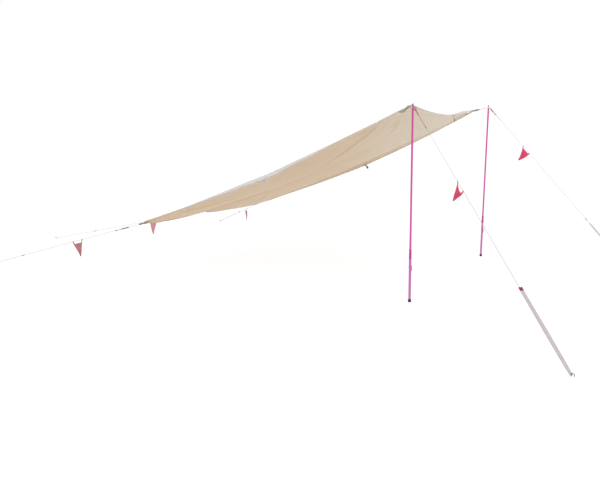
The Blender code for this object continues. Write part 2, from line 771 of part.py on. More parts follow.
def build_tab(group, materials, name, edge, inward):
    """A webbing tab that hangs just inside an edge, its top cut to the edge's slope."""
    before, place, after = edge
    tangent = after - before
    level = Vector((tangent.x, tangent.y, 0.0))
    grade = tangent.z / level.length
    inner = (inward - place)
    level_in = Vector((inner.x, inner.y, 0.0))
    rise_in = inner.z / level_in.length
    half_stack = FABRIC_THICKNESS / 2 * math.sqrt(1.0 + grade ** 2 + rise_in ** 2)
    lean_loss = abs(rise_in) * TAB_THICKNESS / 2
    inset = TAB_INSET[name]
    top = place + level_in.normalized() * inset
    top.z = place.z + rise_in * inset - half_stack - lean_loss - GAP
    half = TAB_WIDTH / 2
    swing = math.radians(TAB_SWING[name])
    drop = Vector((math.sin(swing), -math.cos(swing))) * TAB_LENGTH[name]
    outline = [
        (-half, -grade * half),
        (-half + drop.x, -grade * half + drop.y),
        (half + drop.x, grade * half + drop.y),
        (half, grade * half),
    ]
    along = level.normalized()
    turn = Matrix((along, UP, along.cross(UP))).transposed().to_4x4()
    add_plate(group, name, [outline], TAB_THICKNESS, materials["webbing"], Matrix.Translation(top) @ turn)


def build_tabs(group, materials):
    """The free tabs at the middle of the two sides and along the front edge."""
    width, length = edge_lengths()
    side = MARGIN_WIDTH / width
    fore = MARGIN_WIDTH / length
    steps = (-0.01, 0.0, 0.01)
    place = TAB_PLACE["near_side_tab"]
    edge = [canopy_point(0.0, place + step) for step in steps]
    build_tab(group, materials, "near_side_tab", edge, canopy_point(side, place))
    place = TAB_PLACE["far_side_tab"]
    edge = [canopy_point(1.0, place + step) for step in steps]
    build_tab(group, materials, "far_side_tab", edge, canopy_point(1.0 - side, place))
    place = TAB_PLACE["front_tab"]
    edge = [canopy_point(place + step, 0.0) for step in steps]
    build_tab(group, materials, "front_tab", edge, canopy_point(place, fore))


def build_rear_tab(group, materials, frame):
    """The tab at the middle of the rear edge, which the middle guy line pulls."""
    hole = CORD_RADIUS + RUNNING_GAP
    outline = strap_outline(
        RUNNING_GAP, CORNER_STRAP_LENGTH + hole + EYE_RIM, CORNER_STRAP_WIDTH, False, True,
    )
    add_plate(
        group, "rear_tab", [outline, eye(CORNER_STRAP_LENGTH, hole, hole)], STRAP_THICKNESS,
        materials["webbing"], shifted(frame, (0.0, 0.0, -TAIL_SPACING / 2)),
    )


def pull_of(frame, sign):
    return Vector((frame[0][0], frame[1][0], frame[2][0])) * sign


def main():
    clear_scene()
    group = new_collection(TARP)
    cutters = new_collection("cutters")
    materials = make_materials()
    shared = {"slider": slider_mesh(group, cutters), "pennant": pennant_mesh(group, cutters)}

    poles = {
        "near_front": ("near", NEAR_POLE_FOOT, NEAR_POLE_LEAN),
        "far_front": ("far", FAR_POLE_FOOT, FAR_POLE_LEAN),
    }
    pulls = {}
    for corner, (side, foot, lean) in poles.items():
        build_pole(group, materials, side, foot, lean)
        build_front_corner(group, materials, corner, foot, lean)
        pulls[corner] = (pole_point(foot, lean, LINK_SEAT) - corner_point(corner)).normalized()
        anchor = pole_point(foot, lean, GUY_SEAT)
        frame, _ = stay_frame(anchor, corner)
        over_spike = slanted_eye(SPIKE_RADIUS, slope_of(frame))
        build_stay(group, materials, shared, corner, anchor, 0.0, over_spike)

    hole = LINK_RADIUS + RUNNING_GAP
    for corner in ("near_rear", "far_rear"):
        anchor = corner_point(corner)
        start = CORNER_STRAP_LENGTH + LINK_LENGTH
        frame = build_stay(group, materials, shared, corner, anchor, start, (hole, hole))
        build_rear_corner(group, materials, corner, frame)
        pulls[corner] = pull_of(frame, 1.0)

    frame = build_stay(
        group, materials, shared, "middle_rear", canopy_point(0.5, 1.0), CORNER_STRAP_LENGTH, None,
    )
    build_rear_tab(group, materials, frame)
    build_canopy(group, materials, pulls)
    build_tabs(group, materials)


main()
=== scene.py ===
"""Camping tarp: cloth, webbing, cords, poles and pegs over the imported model, with a plain studio.

The frame is the part's own: the ground is z = 0, the high open front faces -Y, the low rear faces
+Y and the near side is -X. Every size that places a piece is the same one as in the part's source.
"""

import math

import bmesh
import bpy
from mathutils import Matrix, Vector, noise


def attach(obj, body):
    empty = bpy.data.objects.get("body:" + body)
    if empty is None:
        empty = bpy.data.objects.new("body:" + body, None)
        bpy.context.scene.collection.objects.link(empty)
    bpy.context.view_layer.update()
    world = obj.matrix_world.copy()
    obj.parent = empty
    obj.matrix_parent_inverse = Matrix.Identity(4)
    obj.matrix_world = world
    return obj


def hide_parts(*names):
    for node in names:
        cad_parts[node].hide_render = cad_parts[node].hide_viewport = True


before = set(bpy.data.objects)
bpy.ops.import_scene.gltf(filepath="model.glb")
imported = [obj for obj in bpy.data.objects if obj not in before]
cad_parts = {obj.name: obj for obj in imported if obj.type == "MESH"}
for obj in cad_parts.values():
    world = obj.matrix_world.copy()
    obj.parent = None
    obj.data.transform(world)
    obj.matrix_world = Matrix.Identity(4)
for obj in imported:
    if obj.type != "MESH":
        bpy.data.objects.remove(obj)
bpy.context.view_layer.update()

bl_info = {
    "name": "Camping tarp",
    "version": (1, 0, 0),
    "blender": (4, 5, 0),
    "location": "3D View > Sidebar > Tarp",
    "description": "Dresses the packed camping tarp and lights it in a plain studio",
    "category": "Add Mesh",
}

UP = Vector((0.0, 0.0, 1.0))
# What lies apart at rest, what runs over another piece, and two points that are one.
GAP, RUNNING_GAP, SAME_PLACE = 0.0003, 0.0006, 0.00001

# Poles, by side: the foot, and how far the pole's top leans from above it.
POLE_HEIGHT = 2.20
POLES = {
    "near": (Vector((-1.33, -2.36, 0.0)), Vector((-0.020, 0.008, 0.0))),
    "far": (Vector((1.80, -2.36, 0.0)), Vector((0.015, -0.025, 0.0))),
}
TUBE_WALL = 0.0012
UPPER_TUBE_RADIUS, UPPER_TUBE_BOTTOM, UPPER_TUBE_TOP = 0.0110, 0.360, 2.155
LOWER_TUBE_RADIUS, NECK_RADIUS, NECK_BOTTOM, NECK_TOP = 0.0140, 0.0126, 0.500, 0.600
FOOT_RADIUS, FOOT_HEIGHT, FOOT_FLOOR = 0.0165, 0.032, 0.006
SPIKE_RADIUS, SPIKE_FLANGE = 0.0035, 0.0042
# The guide at the upper tube's lower end, and the stopper on the spike as (radius, height) points.
GUIDE_RADIUS, GUIDE_TOP = 0.0125, 0.385
STOPPER_PROFILE = (
    (SPIKE_RADIUS + 0.0001, 2.1858), (0.0050, 2.1862), (0.0090, 2.1893), (0.0096, 2.1908), (0.0096, 2.1965),
    (0.0088, 2.1985), (0.0066, 2.1998), (0.0020, 2.2002), (0.0, 2.2002), (0.0, 2.2000),
    (SPIKE_RADIUS + 0.0001, 2.1960),
)
LINK_SEAT, GUY_SEAT = 2.1662, 2.1815
LEVER_SIZE, LEVER_HEIGHT, LEVER_SIDE = (0.009, 0.014, 0.064), 0.388, math.radians(-62.6)

# The sheet: where its four corners are, the size that it was cut to, and how its edges hang.
CORNERS = {
    "near_front": Vector((-1.219, -2.247, 2.166)),
    "far_front": Vector((1.682, -2.224, 2.124)),
    "far_rear": Vector((1.485, 1.175, 0.664)),
    "near_rear": Vector((-1.425, 1.297, 0.659)),
}
SPAN = (CORNERS["far_front"] - CORNERS["near_front"]).length
RUN = (CORNERS["near_rear"] - CORNERS["near_front"]).length
CUT_WIDTH, CUT_LENGTH = 3.0, 4.0
MARGIN = 0.11
NEAR_LIFT, NEAR_SAG, NEAR_DROOP = 0.040, 0.055, 0.095
NEAR_LEAD, NEAR_TRAIL = 0.090, 0.050
NEAR_DROOP_LEAD, NEAR_DROOP_TRAIL = (0.04, 0.20), (0.02, 0.20)
NEAR_DROOP_AT_REAR = 0.45
FAR_SAG, FAR_DROOP = 0.060, 0.055
FRONT_LIFT, FRONT_SAG, FRONT_DROOP, FRONT_BULGE = 0.050, 0.008, 0.055, 0.050
FRONT_LEAD, FRONT_FADE = 0.050, 16
NEAR_REAR_SAG, FAR_REAR_SAG = 0.033, 0.038
MIDDLE_SAG, REAR_PULL = 0.040, 0.070
CORNER_CUT = 0.020
# How the finished cloth's edges stand above the solid sheet's, by their place along the edge.
NEAR_EDGE_RISE = (
    (0.00, 0.000), (0.03, -0.010), (0.08, -0.012), (0.11, 0.010), (0.15, 0.042), (0.20, 0.057),
    (0.25, 0.048), (0.32, 0.032), (0.40, 0.015), (0.50, 0.000), (0.60, 0.015), (0.70, 0.036),
    (0.80, 0.057), (0.86, 0.055), (0.90, 0.042), (0.94, 0.029), (1.00, 0.024),
)
NEAR_RIDGE_RISE = (
    (0.000, 0.000), (0.012, -0.012), (0.030, -0.018), (0.080, -0.017), (0.120, -0.012), (0.200, -0.006),
    (0.400, -0.006), (0.490, -0.013), (0.560, -0.005), (0.700, -0.001), (0.850, -0.003), (1.000, 0.000),
)
FRONT_EDGE_RISE = (
    (0.00, 0.000), (0.04, -0.004), (0.12, -0.010), (0.30, -0.013), (0.48, -0.015), (0.60, -0.017),
    (0.80, -0.018), (0.90, -0.031), (0.955, -0.024), (1.00, 0.000),
)
FRONT_FOLD_RISE = (
    (0.00, 0.000), (0.42, 0.000), (0.55, -0.010), (0.70, -0.012), (0.80, 0.004), (0.90, 0.022), (0.96, 0.016),
    (1.00, 0.000),
)
REAR_EDGE_RISE = (
    (0.000, 0.000), (0.015, -0.010), (0.035, -0.034), (0.060, -0.042), (0.085, -0.020), (0.115, -0.006),
    (0.150, 0.000), (0.440, -0.003), (0.500, -0.014), (0.530, -0.014), (0.600, -0.010), (0.700, -0.005),
    (0.850, -0.008), (0.950, -0.010), (1.000, 0.000),
)
FAR_EDGE_RISE = (
    (0.000, 0.000), (0.400, -0.004), (0.500, -0.009), (0.580, -0.003), (0.700, 0.000), (0.880, -0.002),
    (0.950, -0.014), (0.985, -0.010), (1.000, 0.000),
)
CORNER_TURN = 0.26
SHEET_CELLS = {"margin": 12, "across": 112, "back": 148}

# Tension folds: their way over the sheet in metres from its near front corner, their height and their width; the
# height also sets the painted shade laid along each fold.
FOLDS = (
    (((0.30, 0.42), (0.60, 0.82), (0.90, 1.28), (1.12, 1.60), (1.20, 2.10)), 0.015, 0.036),
    (((0.18, 0.26), (0.33, 0.55), (0.34, 0.95), (0.30, 1.40)), 0.010, 0.030),
    (((0.10, 0.16), (0.42, 0.42), (0.80, 0.74), (1.10, 1.10)), 0.006, 0.030),
    (((0.08, 0.20), (0.22, 0.50), (0.48, 1.00)), 0.005, 0.026),
    (((0.50, 0.30), (1.00, 0.55), (1.45, 0.95)), 0.009, 0.040),
    (((2.55, 3.75), (2.10, 3.35), (1.70, 3.00)), 0.009, 0.045),
    (((0.25, 3.75), (0.70, 3.30), (1.05, 2.85)), 0.009, 0.045),
    (((1.50, 3.96), (1.48, 3.60), (1.42, 3.10)), 0.008, 0.040),
)

# Webbing straps, link loops and tabs.
STRAP_THICKNESS = 0.0025
CORNER_STRAP_WIDTH, WIDE_STRAP_WIDTH, CORNER_STRAP_LENGTH = 0.024, 0.032, 0.085
GUY_STRAP_WIDTH, GUY_STRAP_LENGTH = 0.018, 0.100
EYE_RIM = 0.0045
LINK_RADIUS, LINK_BEND, LINK_LENGTH = 0.0020, 0.0050, 0.150
TAB_WIDTH, TAB_SEWN_START, TAB_SEWN_LENGTH = 0.024, 0.002, 0.045
# The binding down the near front edge: where it starts, its length, its least width and how much it swells.
BINDING_START, BINDING_LENGTH, BINDING_WIDTH, BINDING_SWELL = 0.004, 0.116, 0.008, 0.026
TABS = {
    "near_side_tab": {
        # The near side tab's light finish is the grey webbing with painted light.
        "edge": "near", "place": 0.50, "length": 0.092, "inset": 0.006, "swing": (0.0, 0.0), "finish": "light",
    },
    "far_side_tab": {
        "edge": "far", "place": 0.485, "length": 0.100, "inset": 0.050, "swing": (-78.0, -22.0), "finish": "patch",
    },
    "front_tab": {
        "edge": "front", "place": 8 / 14, "length": 0.124, "inset": 0.006, "swing": (46.0, 30.0), "finish": "sand",
    },
}

# The webbing under and over each corner: where it starts inwards, its length, and its width at both ends.
# It runs inwards across and back in these shares, lies this far from the middle of the cloth and is this thin.
INWARDS = (0.74, 0.67)
SEWN_LIFT, THIN_WEBBING = 0.0021, 0.0013
PATCHES = {
    "near_front": (0.006, 0.088, 0.042, 0.014), "far_front": (0.016, 0.105, 0.026, 0.036),
    "far_rear": (0.016, 0.045, 0.026, 0.030), "near_rear": (0.016, 0.045, 0.026, 0.030),
}

# How far each strap is rolled about its own length, in degrees.
CORNER_ROLL = {"near_front": 70.0, "far_front": 50.0, "far_rear": 70.0, "near_rear": 60.0}
GUY_ROLL = {"near_front": 25.0, "far_front": 50.0, "near_rear": 60.0, "middle_rear": 0.0, "far_rear": 70.0}

# Guy lines with their sliders, pennants and pegs.
STAYS = ("near_front", "far_front", "near_rear", "middle_rear", "far_rear")
CORD_RADIUS = 0.0025
HAIRPIN_BEND, HAIRPIN_CLOSE = 0.0050, 0.030
HAIRPIN_TAIL = {
    "near_front": 0.285, "far_front": 0.070, "near_rear": 0.100, "middle_rear": 0.070, "far_rear": 0.070,
}
KNOT_RADIUS = 0.0017
# The bound knots of each line: how far past the eye each starts, and its number of turns.
KNOTS = {
    "near_front": ((0.015, 12), (0.255, 5)), "far_front": ((0.030, 6),), "near_rear": ((0.064, 7),),
    "middle_rear": ((0.026, 7),), "far_rear": ((0.026, 9),),
}
TAIL_SPACING = 0.0054
SLIDER_SIZE, SLIDER_HOLE_SPACING = (0.037, 0.027, 0.010), 0.016
BUCKLE_WIDTH = 0.043
SLIDER_PLACE = {
    "near_front": 0.74, "far_front": 0.74, "near_rear": 0.73, "middle_rear": 0.715, "far_rear": 0.50,
}
CORD_END_PAST_SLIDER, CORD_END_IN_SLIDER = 0.012, 0.003
PEG_STRAP_WIDTH = 0.027
PEG_STRAP_WIDENING = ((0.00, 1.42), (0.25, 1.50), (0.50, 1.60), (0.75, 1.50), (0.93, 1.36), (1.00, 1.10))
PEG_STRAP_TWIST = {"near_front": 0.0, "far_front": math.radians(35.0)}
PEGS = {
    "near_front": Vector((-3.082, -4.357, 0.0)),
    "far_front": Vector((2.463, -4.217, 0.0)),
    "near_rear": Vector((-2.212, 3.511, 0.0)),
    "middle_rear": Vector((0.087, 4.362, 0.0)),
    "far_rear": Vector((3.080, 3.058, 0.0)),
}
PEG_RADIUS, PEG_BEND, PEG_SHAFT, PEG_REACH, PEG_TIP = 0.0035, 0.009, 0.019, 0.022, 0.010
CORD_HEIGHT_AT_PEG = 0.0125
PENNANT_HALF_WIDTH, PENNANT_DEPTH, PENNANT_TIP = 0.0725, 0.200, 0.008
SLEEVE_LENGTH, SLEEVE_RADIUS = 0.015, 0.0056
# The hang of each pennant: how far its top edge is cut away between its two loops, where the cut starts and
# is full, how far its tip is ahead of and below the middle, and how far its cloth is blown aside and ahead.
PENNANT_HANG = {
    "near_front": (0.036, (-1.00, 0.25), 0.005, -0.003, 0.010, 0.002),
    "far_front": (0.007, (-0.86, -0.62), 0.038, -0.022, 0.0, 0.011),
    "near_rear": (0.026, (-0.86, -0.62), 0.020, 0.015, 0.0, 0.0),
    "middle_rear": (0.022, (-0.86, -0.62), 0.050, 0.012, 0.0, 0.0),
    "far_rear": (0.022, (-0.86, -0.62), 0.035, -0.012, 0.0, 0.0),
}
PENNANT_PLACE = {
    "near_front": 0.365, "far_front": 0.285, "near_rear": 0.40, "middle_rear": 0.325, "far_rear": 0.36,
}

# The photograph's view of the tarp.
CAMERA_PLACE = Vector((-9.4357, -5.1761, 2.127))
CAMERA_TURN = (math.pi / 2 - 0.1657, 0.0, -1.0923)
SENSOR_WIDTH, FARTHEST_SEEN = 36.0, 500.0
# The floor's radius and how far it lies under the ground, and the sun's spread and turn.
FLOOR_RADIUS, FLOOR_DROP = 160.0, 0.0005
SUN_SPREAD, SUN_TURN = math.radians(30.0), (math.radians(38.0), 0.0, math.radians(-65.0))


def colour_setting(name, description, default):
    """A colour that the panel offers."""
    return bpy.props.FloatVectorProperty(
        name=name, description=description, default=default, size=3, min=0.0, max=1.0, subtype="COLOR")


class SheetSettings(bpy.types.PropertyGroup):
    """Sizes and colours of the canvas roof."""

    thickness: bpy.props.FloatProperty(
        name="Cloth thickness", description="Thickness of one layer of the canvas",
        default=0.0013, min=0.0005, max=0.003, unit="LENGTH", precision=4)
    hem_width: bpy.props.FloatProperty(
        name="Hem width", description="Width of the doubled cloth along every edge",
        default=0.030, min=0.010, max=0.060, unit="LENGTH", precision=3)
    fold_height: bpy.props.FloatProperty(
        name="Fold height", description="How strongly the tension folds and ripples stand out, 1 as pitched",
        default=1.0, min=0.0, max=1.5, subtype="FACTOR")
    outer_colour: colour_setting("Outer colour", "Colour of the canvas from above", (0.575, 0.56, 0.535))
    # The underside colour is painted shade: the same cloth as above, laid darker and warmer below.
    shaded_under_colour: colour_setting("Underside colour", "Colour of the shaded canvas from below", (0.492, 0.369, 0.241))
    # The pale underside colour is painted light, laid on the underside near the high open front.
    front_lit_under_colour: colour_setting(
        "Pale underside colour", "Colour of the underside near the high front", (0.527, 0.462, 0.372))


class WebbingSettings(bpy.types.PropertyGroup):
    """Colours of the straps, tabs and link loops."""

    strap_colour: colour_setting("Strap colour", "Colour of the grey webbing straps and tabs", (0.20, 0.185, 0.18))
    peg_strap_colour: colour_setting(
        "Peg strap colour", "Colour of the pale straps between front sliders and pegs", (0.64, 0.565, 0.595))
    patch_colour: colour_setting("Patch colour", "Colour of the webbing sewn under the corners", (0.38, 0.335, 0.29))
    elastic_colour: colour_setting(
        "Elastic colour", "Colour of the thin loops between corners and poles", (0.72, 0.70, 0.68))
    eyelet_colour: colour_setting("Eyelet colour", "Colour of the pressed metal eyelets", (0.34, 0.33, 0.32))


class PoleSettings(bpy.types.PropertyGroup):
    """Colours of the two telescopic poles."""

    tube_colour: colour_setting("Tube colour", "Colour of the painted tubes", (0.62, 0.080, 0.345))
    lower_colour: colour_setting("Lower tube colour", "Colour of the paler lower tubes", (0.59, 0.135, 0.41))
    collar_colour: colour_setting(
        "Collar colour", "Colour of the moulded collar at the top of the lower tube", (0.41, 0.055, 0.25))
    lever_colour: colour_setting("Lever colour", "Colour of the clamp lever and its band", (0.55, 0.51, 0.53))
    rubber_colour: colour_setting("Rubber colour", "Colour of the rubber feet", (0.022, 0.013, 0.024))
    turn_steps: bpy.props.IntProperty(
        name="Turning steps", description="Number of faces round each turned piece",
        default=40, min=16, max=96)


class LineSettings(bpy.types.PropertyGroup):
    """Colours and sizes of guy lines, sliders, pennants and pegs."""

    cord_colour: colour_setting("Cord colour", "Colour of the guy lines", (0.54, 0.51, 0.525))
    knot_colour: colour_setting(
        "Knot colour", "Colour of the bound knots at the top of the guy lines", (0.58, 0.09, 0.14))
    slider_colour: colour_setting("Slider colour", "Colour of the moulded sliders", (0.27, 0.018, 0.075))
    front_pennant_colour: colour_setting(
        "Front pennant colour", "Colour of the two front pennants", (0.72, 0.057, 0.143))
    rear_pennant_colour: colour_setting(
        "Rear pennant colour", "Colour of the three faded rear pennants", (0.47, 0.165, 0.19))
    peg_colour: colour_setting("Steel colour", "Colour of the galvanised pegs and the spikes", (0.20, 0.20, 0.205))
    cloth_thickness: bpy.props.FloatProperty(
        name="Pennant thickness", description="Thickness of the pennant cloth",
        default=0.0010, min=0.0004, max=0.002, unit="LENGTH", precision=4)


class StudioSettings(bpy.types.PropertyGroup):
    """Camera, floor and lights."""

    lens: bpy.props.FloatProperty(
        name="Focal length", description="Focal length of the camera on a 36 mm wide sensor",
        default=46.5, min=20.0, max=120.0, unit="CAMERA")
    floor_colour: colour_setting(
        "Floor colour", "Colour of the floor's surface, which its glow makes pale", (0.16, 0.16, 0.16))
    sky_strength: bpy.props.FloatProperty(
        name="Sky strength", description="Strength of the even white light from all round",
        default=0.75, min=0.0, max=3.0)
    key_strength: bpy.props.FloatProperty(
        name="Key strength", description="Strength of the wide soft sun",
        default=0.9, min=0.0, max=5.0)
    floor_glow: bpy.props.FloatProperty(
        name="Floor glow", description="Light that the floor gives of itself, as a lit sweep does",
        default=0.895, min=0.0, max=1.0)


class Finish:
    """A node material put together round one Principled shader."""

    def __init__(self, name, **settings):
        self.material = bpy.data.materials.new(name)
        self.material.use_nodes = True
        self.nodes = self.material.node_tree.nodes
        self.links = self.material.node_tree.links
        self.shader = self.nodes["Principled BSDF"]
        for setting, value in settings.items():
            socket = setting.replace("_", " ").title().replace("Ior", "IOR")
            self.shader.inputs[socket].default_value = value

    def feed(self, socket, value):
        if isinstance(value, bpy.types.NodeSocket):
            self.links.new(value, socket)
        else:
            socket.default_value = value

    def add(self, kind, inputs, **settings):
        node = self.nodes.new(kind)
        for name, value in settings.items():
            setattr(node, name, value)
        for name, value in inputs.items():
            self.feed(node.inputs[name], value)
        return node

    def where(self, kind):
        return self.add("ShaderNodeTexCoord", {}).outputs[kind]

    def split(self, vector):
        node = self.add("ShaderNodeSeparateXYZ", {0: vector})
        return node.outputs[0], node.outputs[1], node.outputs[2]

    def stretch(self, vector, scale):
        return self.add("ShaderNodeMapping", {"Vector": vector, "Scale": scale}).outputs[0]

    def sum(self, operation, *values):
        inputs = dict(enumerate(values))
        return self.add("ShaderNodeMath", inputs, operation=operation).outputs[0]

    def rise(self, value, start, end, low=0.0, high=1.0):
        """low before start and high after end, with a smooth change between them."""
        inputs = {"Value": value, "From Min": start, "From Max": end, "To Min": low, "To Max": high}
        node = self.add("ShaderNodeMapRange", inputs, interpolation_type="SMOOTHSTEP")
        return node.outputs["Result"]

    def fall(self, value, start, end):
        """1 before start and 0 after end."""
        return self.rise(value, start, end, 1.0, 0.0)

    def times(self, first, second):
        return self.sum("MULTIPLY", first, second)

    def tint(self, base, cover, share, colour):
        """The base with a colour laid over it where cover is, as strongly as share says."""
        return self.mix(self.times(cover, share), base, colour)

    def mix(self, factor, first, second):
        return self.add("ShaderNodeMix", {0: factor, 6: first, 7: second}, data_type="RGBA").outputs[2]

    def line(self, distance, place, inner, outer):
        """1 along the line that lies at a place, and 0 further than outer from it."""
        off = self.sum("ABSOLUTE", self.sum("SUBTRACT", distance, place))
        return self.fall(off, inner, outer)

    def dashes(self, run, half_pitch, gap):
        """1 on each stitch of a row and 0 between them."""
        return self.sum("GREATER_THAN", self.sum("PINGPONG", run, half_pitch), gap)

    def cloud(self, vector, scale, detail=3.0, roughness=0.55):
        inputs = {"Vector": vector, "Scale": scale, "Detail": detail, "Roughness": roughness}
        return self.add("ShaderNodeTexNoise", inputs).outputs[0]

    def bands(self, vector, pitch, direction="X"):
        """Even bands, with pitch the distance from one to the next."""
        inputs = {"Vector": vector, "Scale": math.pi / 10.0 / pitch}
        return self.add("ShaderNodeTexWave", inputs, bands_direction=direction).outputs["Fac"]

    def bump(self, height, distance, strength=1.0, under=None):
        inputs = {"Height": height, "Distance": distance, "Strength": strength}
        if under is not None:
            inputs["Normal"] = under
        return self.add("ShaderNodeBump", inputs).outputs[0]

    def done(self, colour, roughness=None, normal=None):
        self.feed(self.shader.inputs["Base Color"], colour)
        if roughness is not None:
            self.feed(self.shader.inputs["Roughness"], roughness)
        if normal is not None:
            self.feed(self.shader.inputs["Normal"], normal)
        return self.material


def solid(colour, share=1.0):
    return tuple(min(1.0, value * share) for value in colour) + (1.0,)


def canvas_finish(name, main, pale, hem_width, is_under):
    """Plain woven canvas with doubled hems, two rows of stitching, a felled seam and soft streaks, with painted light
    and shade: below, paler towards the high front and darker along the folds; on both faces, darker over the hems, the
    seam and the rims.
    """
    finish = Finish(
        name, sheen_weight=0.1, sheen_roughness=0.6, specular_ior_level=0.2, subsurface_weight=0.75,
        subsurface_radius=(1.0, 0.85, 0.68), subsurface_scale=0.004,
    )
    place = finish.where("UV")
    across, back, _ = finish.split(place)
    side = finish.sum("MINIMUM", across, finish.sum("SUBTRACT", CUT_WIDTH, across))
    end = finish.sum("MINIMUM", back, finish.sum("SUBTRACT", CUT_LENGTH, back))
    edge = finish.sum("MINIMUM", side, end)
    seam = finish.sum("ABSOLUTE", finish.sum("SUBTRACT", across, CUT_WIDTH / 2))

    streaks = finish.cloud(finish.stretch(place, (2.2, 0.9, 1.0)), 1.6, 4.0, 0.6)
    fine = finish.cloud(finish.stretch(place, (9.0, 3.0, 1.0)), 2.2, 5.0, 0.65)
    slubs = finish.cloud(finish.stretch(place, (160.0, 5.0, 1.0)), 3.0, 2.0)
    slubs_back = finish.cloud(finish.stretch(place, (5.0, 160.0, 1.0)), 3.0, 2.0)
    fold = finish.add("ShaderNodeAttribute", {}, attribute_name="fold").outputs["Fac"]
    colour = solid(main)
    if is_under:
        # Painted light: the underside is laid paler towards the high open front, where more light reaches it.
        front_light_ramp = finish.sum("ADD", back, finish.times(across, -0.38))
        front = finish.fall(finish.sum("ADD", front_light_ramp, finish.times(streaks, 0.9)), -0.2, 2.0)
        colour = finish.mix(front, solid(main), solid(pale))
        # Painted shade: a darker orange laid along each tension fold, weighted by the fold layer stored on the sheet.
        colour = finish.tint(colour, fold, 0.6, solid((0.44, 0.285, 0.16)))
    else:
        colour = finish.mix(finish.rise(streaks, 0.35, 0.7, 0.0, 0.6), solid(main), solid(pale))
    colour = finish.mix(finish.rise(fine, 0.40, 0.72, 0.0, 0.22), colour, solid(main, 0.80))
    threads = finish.times(slubs, slubs_back)
    colour = finish.mix(finish.rise(threads, 0.18, 0.40, 0.0, 0.16), colour, solid(pale, 1.12))

    hem = finish.fall(edge, hem_width - 0.002, hem_width)
    felled = finish.fall(seam, 0.007, 0.0085)
    doubled = finish.sum("MAXIMUM", hem, felled)
    # Painted shade: the doubled hems and, more faintly, the felled seam are laid darker than the open cloth.
    shaded = finish.sum("MAXIMUM", hem, finish.times(felled, 0.35))
    hem_shade_colour = solid((0.42, 0.29, 0.18)) if is_under else solid(main, 0.80)
    colour = finish.tint(colour, shaded, 0.28, hem_shade_colour)
    # Painted shade: a dark rim along the rolled edge, strong on the underside and faint on top.
    rim = finish.fall(edge, 0.011, 0.014)
    rim_shade_colour = solid((0.30, 0.19, 0.11))
    colour = finish.tint(colour, rim, 0.90 if is_under else 0.15, rim_shade_colour)
    soil = finish.times(finish.fall(edge, 0.0, 0.09), finish.rise(fine, 0.35, 0.7))
    colour = finish.tint(colour, soil, 0.30, solid((0.36, 0.29, 0.21)))

    diagonal = finish.sum("ADD", across, back)
    dash = finish.dashes(diagonal, 0.0022, 0.0007)
    rows = None
    for distance, row in ((edge, 0.004), (edge, hem_width - 0.0045), (seam, 0.0055)):
        line = finish.line(distance, row, 0.0004, 0.0010)
        rows = line if rows is None else finish.sum("MAXIMUM", rows, line)
    stitches = finish.times(rows, dash)
    colour = finish.tint(colour, stitches, 0.6, solid((0.80, 0.74, 0.64)))

    creases = finish.cloud(finish.stretch(place, (5.0, 3.2, 1.0)), 2.4, 4.0, 0.6)
    puckers = finish.cloud(finish.stretch(place, (26.0, 26.0, 1.0)), 1.6, 2.0)
    pucker_height = finish.times(puckers, finish.fall(edge, 0.0, 0.07))
    warp = finish.bands(place, 0.0011, "X")
    weft = finish.bands(place, 0.0011, "Y")
    weave = finish.sum("ADD", warp, weft)
    normal = finish.bump(creases, 0.012, 0.55)
    normal = finish.bump(pucker_height, 0.004, 0.8, normal)
    normal = finish.bump(finish.sum("SUBTRACT", doubled, finish.times(rows, 0.6)), 0.0012, 0.8, normal)
    normal = finish.bump(finish.sum("ADD", weave, slubs), 0.00018, 0.5, normal)
    roughness = finish.rise(fine, 0.2, 0.8, 0.80, 0.95)
    return finish.done(colour, roughness, normal)


def webbing_finish(name, colour, stripe, edge_tone=1.5):
    """Herringbone webbing: the second UV number is the distance from the nearer long edge."""
    finish = Finish(name, sheen_weight=0.2, sheen_roughness=0.5, specular_ior_level=0.3)
    place = finish.where("UV")
    run, edge, _ = finish.split(place)
    chevron = finish.add("ShaderNodeCombineXYZ", {0: finish.sum("ADD", run, edge)}).outputs[0]
    twill = finish.bands(chevron, 0.0022)
    picks = finish.bands(place, 0.0011)
    wear = finish.cloud(finish.stretch(place, (60.0, 60.0, 1.0)), 1.5, 4.0, 0.6)
    base = finish.mix(finish.rise(wear, 0.35, 0.7), solid(colour, 0.86), solid(colour, 1.18))
    base = finish.tint(base, twill, 0.35, solid(colour, 0.62))
    worn = edge_tone > 1.0
    selvage = finish.fall(edge, 0.0008 if worn else 0.0035, 0.0018 if worn else 0.0055)
    rubbed = finish.times(selvage, finish.rise(wear, 0.3, 0.6)) if worn else selvage
    base = finish.tint(base, rubbed, 0.5 if worn else 0.9, solid(colour, edge_tone))
    row = finish.line(edge, 0.0036, 0.0004, 0.0009)
    stitches = finish.times(row, finish.dashes(run, 0.0020, 0.0006))
    base = finish.tint(base, stitches, 0.8, solid(stripe))
    height = finish.sum("ADD", finish.times(twill, 0.6), finish.times(picks, 0.4))
    height = finish.sum("SUBTRACT", height, finish.times(row, 0.5))
    normal = finish.bump(height, 0.0005, 0.8)
    roughness = finish.rise(wear, 0.3, 0.7, 0.78, 0.92)
    return finish.done(base, roughness, normal)


